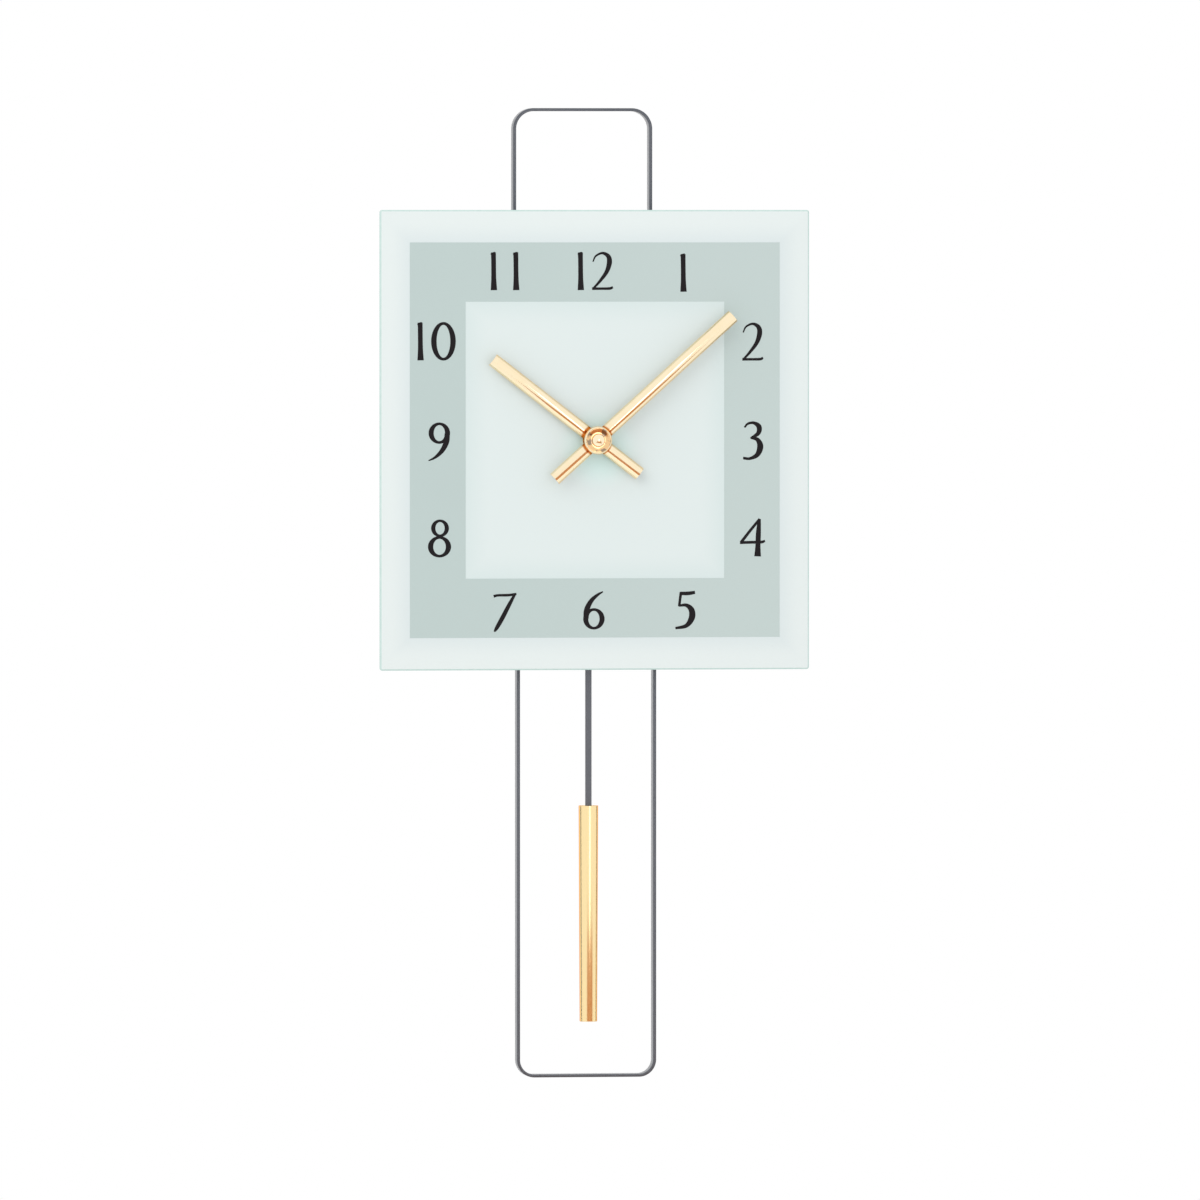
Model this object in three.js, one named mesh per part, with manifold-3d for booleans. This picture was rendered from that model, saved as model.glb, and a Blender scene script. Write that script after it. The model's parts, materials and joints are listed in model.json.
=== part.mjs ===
// Pendulum wall clock: a satin glass dial on a sheet-steel tray, two flat-bar steel loops above and below
// it, a quartz movement with its wheels, and a brass pendulum that swings inside the lower loop.
//
// Millimetres, +Z up. The wall is the plane y = 0 and the clock's face looks along -Y. The origin is where
// the wall screw carries the keyhole. Everything hangs in one group whose own zero height is the hand axis.
import * as THREE from "three";
import { mergeVertices } from "three/addons/utils/BufferGeometryUtils.js";
import Module from "manifold-3d";

const wasm = await Module();
wasm.setup();

// ---------------------------------------------------------------- driving dimensions
const glassStandoff = 63; // wall to the front of the glass
const seatGap = 0.3; // between pieces that rest on each other
const turnGap = 0.15; // radial play of a turning fit
const pressGap = 0.1; // between a piece and the bore or pocket that holds it
const screwGap = 0.25; // radial play of a screw in its hole

const glass = { width: 260, height: 276, thickness: 5, corner: 1.5, arris: 1.2, hole: 5.2 };
const pad = { width: 12, height: 120, thickness: 0.9, inset: 9, gap: 0.2 };
const tray = { height: 150, sheet: 1.2, lip: 8, corner: 2, notchHalf: 17, notchDepth: 8, shaftPlay: 0.6 };
const bar = { thickness: 1.8, depth: 10, halfSpan: 41.4 }; // halfSpan is to the middle of a leg
const upperLoop = { rise: 199.3, legEnd: -35, corner: 12.5, back: 0, screws: [50, -22] };
const lowerLoop = { drop: 384.4, legEnd: 32, corner: 10.5, back: 17, screws: [22, -50] };
const hanger = { inset: 2.2, fromTop: 15, above: 11, below: 23, thickness: 1.5, corner: 3, screwRise: 8 };
const keyhole = { slot: 2.3, entry: 4.6, drop: 12 }; // radii, and how far the entry lies below the seat
const screw = { shank: 1.4, head: 2.75, headHeight: 1.7, top: 1.9, sunkHead: 0.9, reach: 5.5, grip: 2.4 };
const bumper = 3.2; // radius

const movement = {
  halfWidth: 30, top: 30, bottom: -48, depth: 16, wall: 1.4, corner: 3,
  bayTop: -31, bayWall: 0.5, cover: 1.1,
};
const bush = { outer: 3.85, bore: 2.75, reach: 4.2 }; // reach in front of the glass
const washer = { outer: 7.6, thickness: 0.8 };
const nut = { acrossFlats: 12, thickness: 2.2 };
const knob = { radius: 6.4, height: 4.2, gap: 0.5, shaft: 1.2, bevel: 0.6, groove: 0.75, grooves: 12 };

const minuteArbor = 1.5; // radius of the minute shaft
const hourPipe = { outer: 2.55, bore: 1.8 };
const hand = { width: 8, height: 3.2, wall: 0.55, hub: 6.2, apart: 0.6 }; // half-round channel
const minuteHand = { tip: 111, tail: 34.6, angle: 47.9 };
const hourHand = { tip: 79, tail: 33.2, angle: -52.3 };
const collet = 0.9; // wall of the ring that grips a hand's shaft
const cap = { radius: 8.4, edge: 1.1, chamfer: 0.6, rim: 1.3, dish: 0.7, thickness: 3.2, socket: 1.6 };
const capBoss = { radius: 3.8, height: 2.6, foot: 0.5, shoulder: 1.4, tip: 1.7, tipHeight: 0.35 };

const pivot = {
  height: 14, pin: 1.0, pinReach: 5, pinProud: 0.5, boss: 4, bossHeight: 2.6, clip: 2.8, clipThickness: 0.6,
};
const rod = { width: 3.8, thickness: 0.8, corner: 1.4, eye: 1.4, overPeg: 3.6, intoBob: 7 };
const bob = { top: -220.4, bottom: -350.4, topRadius: 5.85, bottomRadius: 5.25, wall: 0.8, plug: 4 };
const hook = { height: -33, peg: 1.1, head: 1.35, headBack: 1, reach: 1.8, tongue: 3.5, corner: 1.5 };
const driveCoil = { height: -20, outer: 7.6, inner: 3, thickness: 3 };
const driveMagnet = { radius: 4.4, thickness: 2.6, proud: 0.4, rim: 1.6 };
const hangerArm = { halfThickness: 1.4, halfWidth: 3.2, eye: 4.2, eyeProud: 1.6, overHook: 5 };

// ---------------------------------------------------------------- levels from the wall towards the viewer
const front = -glassStandoff;
const glassBack = front + glass.thickness;
const trayFront = glassBack + 2 * pad.gap + pad.thickness;
const movementFront = trayFront + tray.sheet + seatGap;
const gearFloor = movementFront + movement.wall; // inside face of the movement's front wall
const coverFront = movementFront + movement.depth - movement.wall + seatGap;
const coverBack = coverFront + movement.cover;
const flangeBack = -hanger.thickness - seatGap; // back face of the tray's lip
const bushTip = front - bush.reach;
const nutBack = front - seatGap - washer.thickness - pressGap;
const hourHandBack = bushTip - hand.apart;
const minuteHandBack = hourHandBack - hand.height - hand.apart;
const capBack = minuteHandBack - hand.height - seatGap;
const coilBack = coverBack + pressGap + driveCoil.thickness;
const pendulumY = coilBack + seatGap + driveMagnet.proud + hangerArm.halfThickness; // middle of the rod

// ---------------------------------------------------------------- widths and heights that fit each other
const barOutside = bar.halfSpan + bar.thickness / 2;
const barInside = bar.halfSpan - bar.thickness / 2;
const trayHalf = barInside - seatGap;
const hangerHalf = trayHalf - hanger.inset;
const axisDrop = tray.height / 2 - hanger.fromTop; // hand axis below the keyhole seat
const hangerScrew = { x: trayHalf - tray.lip / 2, z: axisDrop - hanger.below + hanger.screwRise };

// ---------------------------------------------------------------- wheels
// Each pair has its tooth counts and module here, and its places follow from them. Depths count from
// gearFloor.
const tooth = { addendum: 0.75, dedendum: 1.15, rootShare: 0.5, tipShare: 0.22, spread: 0.12 };
const motionModule = 0.6;
const trainModule = 0.53;
const teeth = {
  cannon: 10, motion: 30, motionPinion: 8, hour: 32, setting: 10,
  centre: 48, thirdPinion: 6, third: 45, secondPinion: 6, second: 36, midPinion: 6, mid: 30, rotor: 6,
};
const layer = { hour: 0.5, motion: 2.2, centre: 5.2, third: 6.9, second: 8.6, mid: 10.2, stator: 11.9 };
const wheelThickness = 1.2;
const pinionLength = 1.6;
const pinionLead = 0.2; // how far a pinion's end stands past the wheel that it drives
const arborRadius = 0.9;
const pivotRadius = 0.55;
const pivotReach = 0.8; // how far a pivot stands in the wall's hole
const endShake = 0.2; // between an arbor's shoulder and the wall

const radians = (degrees) => (degrees * Math.PI) / 180;
const centresApart = (a, b, module) => ((a + b) / 2 + tooth.spread) * module;
const placed = (from, distance, degrees) => ({
  x: from.x + distance * Math.cos(radians(degrees)),
  z: from.z + distance * Math.sin(radians(degrees)),
});
const centre = { x: 0, z: 0 };
const motionAt = placed(centre, centresApart(teeth.cannon, teeth.motion, motionModule), -45);
const settingAt = placed(motionAt, centresApart(teeth.motion, teeth.setting, motionModule), -45);
const thirdAt = placed(centre, centresApart(teeth.centre, teeth.thirdPinion, trainModule), 150);
const secondAt = placed(thirdAt, centresApart(teeth.third, teeth.secondPinion, trainModule), 40);
const midAt = placed(secondAt, centresApart(teeth.second, teeth.midPinion, trainModule), 0);
const rotorAt = placed(midAt, centresApart(teeth.mid, teeth.rotor, trainModule), -20);

// ---------------------------------------------------------------- materials
const finish = (color, roughness, metalness) =>
  new THREE.MeshStandardMaterial({ color, roughness, metalness });
const satinGlass = finish(0xe4eeec, 0.35, 0);
const whiteSteel = finish(0xe8eae9, 0.5, 0.2);
const greySteel = finish(0x63656b, 0.4, 0.7);
const brass = finish(0xf3c98a, 0.25, 1);
const zincSteel = finish(0xb9bcc0, 0.35, 1);
const blackPlastic = finish(0x1d1e20, 0.5, 0);
const whitePlastic = finish(0xe9e7df, 0.5, 0);
const copper = finish(0xb2693a, 0.4, 0.8);
const boardGreen = finish(0x2f6b3f, 0.6, 0);
const rubber = finish(0x2a2a2c, 0.9, 0);
const batteryJacket = finish(0x4a5a72, 0.4, 0.1);

// ---------------------------------------------------------------- solids
const past = 1; // how far a cutter runs past what it cuts
const sink = 0.2; // how far joined shapes run into each other
const hair = 0.01; // keeps two faces out of one plane

function toSolid(geometry) {
  const bare = geometry.index ? geometry.toNonIndexed() : geometry.clone();
  bare.deleteAttribute("normal");
  bare.deleteAttribute("uv");
  const merged = mergeVertices(bare, 1e-4);
  return new wasm.Manifold(
    new wasm.Mesh({
      numProp: 3,
      vertProperties: merged.attributes.position.array,
      triVerts: new Uint32Array(merged.index.array),
    }),
  );
}

function toGeometry(solid) {
  const mesh = solid.getMesh();
  const geometry = new THREE.BufferGeometry();
  geometry.setAttribute("position", new THREE.BufferAttribute(new Float32Array(mesh.vertProperties), 3));
  geometry.setIndex(new THREE.BufferAttribute(mesh.triVerts, 1));
  geometry.computeVertexNormals();
  return geometry;
}

function join(...geometries) {
  return toGeometry(geometries.map(toSolid).reduce((all, next) => all.add(next)));
}

function cut(body, ...tools) {
  return toGeometry(tools.map(toSolid).reduce((left, tool) => left.subtract(tool), toSolid(body)));
}

// A box between two corners.
function block(x0, x1, y0, y1, z0, z1) {
  return new THREE.BoxGeometry(x1 - x0, y1 - y0, z1 - z0)
    .translate((x0 + x1) / 2, (y0 + y1) / 2, (z0 + z1) / 2);
}

// A round bar along Y between two levels.
function roundY(radius, y0, y1, at = centre, sides = 24) {
  return new THREE.CylinderGeometry(radius, radius, y1 - y0, sides).translate(at.x, (y0 + y1) / 2, at.z);
}

// The cutter for a bore that runs through the whole clock along Y.
function boreY(radius, at, sides) {
  return roundY(radius, capBack - past, past, at, sides);
}

// A round bar along X between two places.
function roundX(radius, x0, x1, y, z, sides = 16) {
  return new THREE.CylinderGeometry(radius, radius, x1 - x0, sides)
    .rotateZ(Math.PI / 2)
    .translate((x0 + x1) / 2, y, z);
}

// An outline drawn in x and z, as a plate between two levels of y.
function plate(shape, y0, y1, curveSegments = 6) {
  return new THREE.ExtrudeGeometry(shape, { depth: y1 - y0, bevelEnabled: false, curveSegments })
    .rotateX(Math.PI / 2)
    .translate(0, y1, 0);
}

// A profile of [radius, y] corners turned about the Y axis. It starts and ends on the axis, or closes on
// itself.
function turned(profile, at = centre, sides = 32) {
  const points = profile.map(([radius, y]) => new THREE.Vector2(radius, y));
  return new THREE.LatheGeometry(points, sides).translate(at.x, 0, at.z);
}

function ringY(outer, inner, y0, y1, at = centre, sides = 32) {
  return turned([[inner, y0], [outer, y0], [outer, y1], [inner, y1], [inner, y0]], at, sides);
}

function roundedRectangle(x0, x1, z0, z1, radius) {
  const shape = new THREE.Shape();
  shape.moveTo(x0 + radius, z0);
  shape.lineTo(x1 - radius, z0);
  shape.absarc(x1 - radius, z0 + radius, radius, -Math.PI / 2, 0, false);
  shape.lineTo(x1, z1 - radius);
  shape.absarc(x1 - radius, z1 - radius, radius, 0, Math.PI / 2, false);
  shape.lineTo(x0 + radius, z1);
  shape.absarc(x0 + radius, z1 - radius, radius, Math.PI / 2, Math.PI, false);
  shape.lineTo(x0, z0 + radius);
  shape.absarc(x0 + radius, z0 + radius, radius, Math.PI, 1.5 * Math.PI, false);
  return shape;
}

// ---------------------------------------------------------------- the assembly
const clock = new THREE.Group();
clock.position.z = -axisDrop;
const sides = [["left", -1], ["right", 1]];

function add(name, geometry, material) {
  const mesh = new THREE.Mesh(geometry, material);
  mesh.name = name;
  clock.add(mesh);
  return mesh;
}

// ---- the dial: one pane of float glass with an arris ground on all its edges and a hole for the shafts
{
  const halfWidth = glass.width / 2 - glass.arris;
  const halfHeight = glass.height / 2 - glass.arris;
  const pane = new THREE.ExtrudeGeometry(
    roundedRectangle(-halfWidth, halfWidth, -halfHeight, halfHeight, glass.corner),
    {
      depth: glass.thickness - 2 * glass.arris,
      bevelThickness: glass.arris,
      bevelSize: glass.arris,
      bevelSegments: 2,
      curveSegments: 3,
    },
  )
    .rotateX(Math.PI / 2)
    .translate(0, glassBack - glass.arris, 0);
  add("glass_dial_panel", cut(pane, roundY(glass.hole, front - past, glassBack + past)), satinGlass);
}

// ---- foam tape that holds the glass to the tray
for (const [where, side] of sides) {
  const middle = side * (trayHalf - pad.inset - pad.width / 2);
  const x0 = middle - pad.width / 2;
  const y0 = glassBack + pad.gap;
  const strip = block(x0, x0 + pad.width, y0, y0 + pad.thickness, -pad.height / 2, pad.height / 2);
  add(`adhesive_pad_${where}`, strip, rubber);
}

// ---- the tray: folded steel, open to the wall, with a lip all round and a notch for the pendulum
{
  const halfHeight = tray.height / 2;
  const outline = (inset, corner) =>
    roundedRectangle(-trayHalf + inset, trayHalf - inset, -halfHeight + inset, halfHeight - inset, corner);
  const frame = (y0, y1, width) => {
    const ring = outline(0, tray.corner);
    ring.holes.push(outline(width, tray.corner / 2));
    return plate(ring, y0, y1, 2);
  };
  const floor = plate(outline(0, tray.corner), trayFront, trayFront + tray.sheet, 2);
  const walls = frame(trayFront, flangeBack, tray.sheet);
  const lip = frame(flangeBack - tray.sheet, flangeBack, tray.lip);
  const notch = block(
    -tray.notchHalf, tray.notchHalf, pendulumY - tray.notchDepth, past,
    -halfHeight - past, -halfHeight + tray.lip + past,
  );
  const shaftHole = roundY(bush.outer + tray.shaftPlay, trayFront - past, trayFront + tray.sheet + past);
  const loopHoles = [upperLoop, lowerLoop].flatMap((loop) =>
    loop.screws.map((z) =>
      roundX(screw.shank + screwGap, -trayHalf - past, trayHalf + past, -loop.back - bar.depth / 2, z, 8)));
  const plateHoles = sides.map(([, side]) => {
    const at = { x: side * hangerScrew.x, z: hangerScrew.z };
    return roundY(screw.shank + screwGap, flangeBack - tray.sheet - past, flangeBack + past, at, 12);
  });
  const folded = join(floor, walls, lip);
  add("carrier_tray", cut(folded, notch, shaftHole, ...loopHoles, ...plateHoles), whiteSteel);
}

// ---- the keyhole plate across the back of the tray, flush with the wall, and its two flat-head screws
{
  const entryZ = axisDrop - keyhole.drop;
  const mouth = Math.sqrt(keyhole.entry ** 2 - keyhole.slot ** 2);
  const halfMouth = Math.acos(keyhole.slot / keyhole.entry);
  const opening = new THREE.Path();
  opening.moveTo(keyhole.slot, entryZ + mouth);
  opening.lineTo(keyhole.slot, axisDrop);
  opening.absarc(0, axisDrop, keyhole.slot, 0, Math.PI, false);
  opening.lineTo(-keyhole.slot, entryZ + mouth);
  opening.absarc(0, entryZ, keyhole.entry, Math.PI - halfMouth, halfMouth, false);
  const outline = roundedRectangle(
    -hangerHalf, hangerHalf, axisDrop - hanger.below, axisDrop + hanger.above, hanger.corner);
  outline.holes.push(opening);
  const tools = [];
  for (const [where, side] of sides) {
    const at = { x: side * hangerScrew.x, z: hangerScrew.z };
    tools.push(roundY(screw.shank + screwGap, -hanger.thickness - past, past, at, 12));
    tools.push(roundY(screw.head + screwGap, -screw.sunkHead - pressGap, past, at, 12));
    const tip = flangeBack - tray.sheet - screw.grip;
    const profile = [
      [0, tip], [screw.shank, tip], [screw.shank, -screw.sunkHead],
      [screw.head, -screw.sunkHead], [screw.head, 0], [0, 0],
    ];
    add(`hanger_screw_${where}`, turned(profile, at, 12), zincSteel);
  }
  add("hanger_plate", cut(plate(outline, -hanger.thickness, 0), ...tools), zincSteel);
}

// ---- rubber bumpers that keep the tray's lower edge off the wall
for (const [where, side] of sides) {
  const at = { x: side * hangerScrew.x, z: (tray.lip - tray.height) / 2 };
  add(`wall_bumper_${where}`, roundY(bumper, flangeBack + pad.gap, 0, at, 20), rubber);
}

// ---- the two loops: flat bar bent on its flat, so that its thin edge faces the viewer
// The outline runs up one leg, over the closed end and down the other leg, then back along the inside.
function loopOutline(endZ, barZ, corner) {
  const way = Math.sign(barZ - endZ); // +1 where the closed end is at the top
  const inner = corner - bar.thickness;
  const half = Math.PI / 2;
  const outline = new THREE.Shape();
  const turn = (radius, side, from, to, clockwise) => {
    const x = side * (barOutside - corner);
    outline.absarc(x, barZ - way * corner, radius, from * way, to * way, clockwise);
  };
  outline.moveTo(-barOutside, endZ);
  outline.lineTo(-barOutside, barZ - way * corner);
  turn(corner, -1, Math.PI, half, way > 0);
  outline.lineTo(barOutside - corner, barZ);
  turn(corner, 1, half, 0, way > 0);
  outline.lineTo(barOutside, endZ);
  outline.lineTo(barInside, endZ);
  outline.lineTo(barInside, barZ - way * corner);
  turn(inner, 1, 0, half, way < 0);
  outline.lineTo(-barOutside + corner, barZ - way * bar.thickness);
  turn(inner, -1, half, Math.PI, way < 0);
  outline.lineTo(-barInside, endZ);
  return outline;
}

function addLoop(name, outline, loop) {
  const y1 = -loop.back;
  const y0 = y1 - bar.depth;
  const middle = (y0 + y1) / 2;
  const holes = [];
  for (const [row, z] of loop.screws.entries()) {
    for (const [where, side] of sides) {
      const x = side * bar.halfSpan;
      holes.push(roundX(screw.shank + screwGap, x - bar.thickness, x + bar.thickness, middle, z, 8));
      addLoopScrew(`${name}_screw_${where}_${row + 1}`, side, middle, z);
    }
  }
  add(name, cut(plate(outline, y0, y1, 7), ...holes), greySteel);
}

// A button-head screw that enters the leg from outside and ends in the tray's wall.
function addLoopScrew(name, side, y, z) {
  const under = barOutside + pressGap;
  const top = under + screw.headHeight;
  const tip = barOutside - screw.reach;
  const profile = [
    [0, tip], [screw.shank, tip], [screw.shank, under],
    [screw.head, under], [screw.top, top], [0, top],
  ];
  const shape = turned(profile, centre, 10).rotateZ((-side * Math.PI) / 2).translate(0, y, z);
  add(name, shape, zincSteel);
}

addLoop("upper_loop", loopOutline(upperLoop.legEnd, upperLoop.rise, upperLoop.corner), upperLoop);
addLoop("lower_loop", loopOutline(lowerLoop.legEnd, -lowerLoop.drop, lowerLoop.corner), lowerLoop);

// ---- the movement's case: a front shell with the wheels' room and the battery bay, and a rear cover
const arborPlaces = [thirdAt, secondAt, midAt, rotorAt];
const pivotHole = pivotRadius + turnGap;
const pivotAt = { x: 0, z: pivot.height };
const coilAt = { x: 0, z: driveCoil.height };
{
  const { halfWidth, top, bottom, wall, bayTop, corner } = movement;
  const shellBack = coverFront - seatGap;
  const throughFront = (radius, at, count) =>
    roundY(radius, movementFront - past, gearFloor + past, at, count);
  const outside = plate(
    roundedRectangle(-halfWidth, halfWidth, bottom, top, corner), movementFront, shellBack, 3);
  const inside = halfWidth - wall;
  const gearRoom = block(-inside, inside, gearFloor, shellBack + past, bayTop + wall, top - wall);
  const bayFloor = movementFront + movement.bayWall;
  const batteryBay = block(-inside, inside, bayFloor, shellBack + past, bottom + wall, bayTop);
  const postEnd = gearFloor + layer.motion + wheelThickness + seatGap;
  const post = roundY(arborRadius, gearFloor - sink, postEnd, motionAt, 12);
  const hollow = cut(
    outside,
    gearRoom,
    batteryBay,
    throughFront(bush.outer + pressGap, centre, 24),
    throughFront(knob.shaft + turnGap, settingAt, 16),
    ...arborPlaces.map((at) => throughFront(pivotHole, at, 8)),
  );
  add("movement_front_shell", join(hollow, post), blackPlastic);

  const throughCover = (radius, at, count, end = coverBack) =>
    roundY(radius, coverFront - past, end + past, at, count);
  const coverOutline = roundedRectangle(-halfWidth, halfWidth, bayTop, top, corner);
  const cover = plate(coverOutline, coverFront, coverBack, 3);
  const bossEnd = coverBack + pivot.bossHeight;
  const boss = roundY(pivot.boss, coverBack - sink, bossEnd, pivotAt, 20);
  const spigotEnd = coverBack + driveCoil.thickness;
  const spigot = roundY(driveCoil.inner - seatGap, coverBack - sink, spigotEnd, coilAt, 20);
  add(
    "movement_rear_cover",
    cut(
      join(cover, boss, spigot),
      throughCover(pivot.pin + pressGap, pivotAt, 16, bossEnd),
      throughCover(knob.shaft + turnGap, settingAt, 16),
      throughCover(pivotHole, centre, 8),
      ...arborPlaces.map((at) => throughCover(pivotHole, at, 8)),
    ),
    blackPlastic,
  );
}

// ---- what clamps the movement and the tray to the glass
add("threaded_bush", ringY(bush.outer, bush.bore, bushTip, gearFloor, centre, 28), brass);
{
  const washerBack = front - seatGap;
  const bore = bush.outer + pressGap;
  add("fixing_washer", ringY(washer.outer, bore, washerBack - washer.thickness, washerBack), brass);
  const corner = nut.acrossFlats / Math.sqrt(3);
  const hexagon = roundY(corner, nutBack - nut.thickness, nutBack, centre, 6);
  const thread = roundY(bore, nutBack - nut.thickness - past, nutBack + past, centre, 28);
  add("fixing_nut", cut(hexagon, thread), brass);
}

// ---- toothed wheels
// A straight-sided tooth outline with its first tooth centred on the angle given.
function gearShape(count, module, firstTooth) {
  const pitch = (count * module) / 2;
  const step = (2 * Math.PI) / count;
  const root = pitch - tooth.dedendum * module;
  const tip = pitch + tooth.addendum * module;
  const rootHalf = (tooth.rootShare * step) / 2;
  const tipHalf = (tooth.tipShare * step) / 2;
  const flank = [[root, -rootHalf], [tip, -tipHalf], [tip, tipHalf], [root, rootHalf]];
  const corners = Array.from({ length: count }, (_, i) =>
    flank.map(([radius, turn]) => {
      const angle = firstTooth + i * step + turn;
      return new THREE.Vector2(radius * Math.cos(angle), radius * Math.sin(angle));
    }));
  return new THREE.Shape(corners.flat());
}

function gear(count, module, firstTooth, at, depth, thickness) {
  const y0 = gearFloor + depth;
  return plate(gearShape(count, module, firstTooth), y0, y0 + thickness).translate(at.x, 0, at.z);
}

// The first tooth's angle on a wheel at b that meshes with a wheel at a.
function meshing(a, countA, firstA, b, countB) {
  const line = Math.atan2(b.z - a.z, b.x - a.x);
  return line + Math.PI + Math.PI / countB - ((firstA - line) * countA) / countB;
}

const firstTooth = {
  cannon: 0.2, motionPinion: 0.35, thirdPinion: 0.1, secondPinion: 0.2, midPinion: 0.3, mid: 0.15,
};
firstTooth.motion = meshing(centre, teeth.cannon, firstTooth.cannon, motionAt, teeth.motion);
firstTooth.hour = meshing(motionAt, teeth.motionPinion, firstTooth.motionPinion, centre, teeth.hour);
firstTooth.setting = meshing(motionAt, teeth.motion, firstTooth.motion, settingAt, teeth.setting);
firstTooth.centre = meshing(thirdAt, teeth.thirdPinion, firstTooth.thirdPinion, centre, teeth.centre);
firstTooth.third = meshing(secondAt, teeth.secondPinion, firstTooth.secondPinion, thirdAt, teeth.third);
firstTooth.second = meshing(midAt, teeth.midPinion, firstTooth.midPinion, secondAt, teeth.second);
firstTooth.rotor = meshing(midAt, teeth.mid, firstTooth.mid, rotorAt, teeth.rotor);

const motionGear = (name, at, depth, thickness) =>
  gear(teeth[name], motionModule, firstTooth[name], at, depth, thickness);
const trainGear = (name, at, depth, thickness) =>
  gear(teeth[name], trainModule, firstTooth[name], at, depth, thickness);

function arbor(at) {
  const y0 = gearFloor - pivotReach;
  const y1 = coverFront + pivotReach;
  const shoulderFront = gearFloor + endShake;
  const shoulderBack = coverFront - endShake;
  return turned([
    [0, y0], [pivotRadius, y0], [pivotRadius, shoulderFront], [arborRadius, shoulderFront],
    [arborRadius, shoulderBack], [pivotRadius, shoulderBack], [pivotRadius, y1], [0, y1],
  ], at, 8);
}

// Minute arbor with its cannon pinion, the friction spring behind it and the centre wheel that drives it.
{
  const cannonFront = layer.motion - pinionLead;
  const shaftFront = capBack - cap.socket + seatGap + pressGap;
  const shoulder = coverFront - endShake;
  const shaft = turned([
    [0, shaftFront], [minuteArbor, shaftFront], [minuteArbor, shoulder], [pivotRadius, shoulder],
    [pivotRadius, coverFront + pivotReach], [0, coverFront + pivotReach],
  ], centre, 20);
  const cannon = motionGear("cannon", centre, cannonFront, pinionLength);
  add("minute_arbor", join(shaft, cannon), zincSteel);

  const spring = { radius: 4.5, rise: 0.7, thickness: 0.4 };
  const springFront = gearFloor + cannonFront + pinionLength + endShake;
  const bore = minuteArbor + pressGap;
  const dished = turned([
    [bore, springFront], [spring.radius, springFront + spring.rise],
    [spring.radius, springFront + spring.rise + spring.thickness], [bore, springFront + spring.thickness],
    [bore, springFront],
  ], centre, 20);
  add("friction_spring", dished, zincSteel);
  const wheel = trainGear("centre", centre, layer.centre, wheelThickness);
  add("centre_wheel", cut(wheel, boreY(minuteArbor + turnGap, centre, 20)), whitePlastic);
}

// Hour wheel and its pipe, which turns inside the threaded bush.
{
  const wheel = motionGear("hour", centre, layer.hour, wheelThickness);
  const pipeEnd = hourHandBack - hand.height + seatGap;
  const pipe = roundY(hourPipe.outer, pipeEnd, gearFloor + layer.hour + sink);
  add("hour_wheel", cut(join(wheel, pipe), boreY(hourPipe.bore, centre, 24)), whitePlastic);
}

// Motion wheel, which turns on a post of the front shell.
{
  const wheel = motionGear("motion", motionAt, layer.motion, wheelThickness);
  const pinionFront = layer.hour - pinionLead;
  const pinion = motionGear("motionPinion", motionAt, pinionFront, layer.motion - pinionFront + sink);
  add("motion_wheel", cut(join(wheel, pinion), boreY(arborRadius + turnGap, motionAt, 16)), whitePlastic);
}

// Setting wheel: a pinion on a shaft with the thumb knob at the back of the case.
{
  const pinion = motionGear("setting", settingAt, layer.motion - pinionLead, pinionLength);
  const knobFront = coverBack + knob.gap;
  const knobBack = knobFront + knob.height;
  const shaft = roundY(knob.shaft, gearFloor - pivotReach, knobFront + sink, settingAt, 16);
  const grip = turned([
    [0, knobFront], [knob.radius - knob.bevel, knobFront], [knob.radius, knobFront + knob.bevel],
    [knob.radius, knobBack - knob.bevel], [knob.radius - knob.bevel, knobBack], [0, knobBack],
  ], settingAt, 24);
  const grooves = Array.from({ length: knob.grooves }, (_, i) => {
    const at = placed(settingAt, knob.radius + knob.groove / 2, (i * 360) / knob.grooves);
    return roundY(knob.groove, knobFront - past, knobBack + past, at, 6);
  });
  add("setting_knob", cut(join(pinion, shaft, grip), ...grooves), whitePlastic);
}

// Going train: each wheel is moulded in one piece with its pinion and pivots. The pinion meshes one layer
// lower.
function addTrainWheel(name, at, wheelName, pinionName, wheelLayer, pinionLayer) {
  const wheel = trainGear(wheelName, at, wheelLayer, wheelThickness);
  const pinionFront = pinionLayer - pinionLead / 2;
  const pinion = trainGear(pinionName, at, pinionFront, wheelLayer - pinionFront + sink);
  add(name, join(wheel, pinion, arbor(at)), whitePlastic);
}

addTrainWheel("third_wheel", thirdAt, "third", "thirdPinion", layer.third, layer.centre);
addTrainWheel("second_wheel", secondAt, "second", "secondPinion", layer.second, layer.third);
addTrainWheel("intermediate_wheel", midAt, "mid", "midPinion", layer.mid, layer.second);

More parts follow.
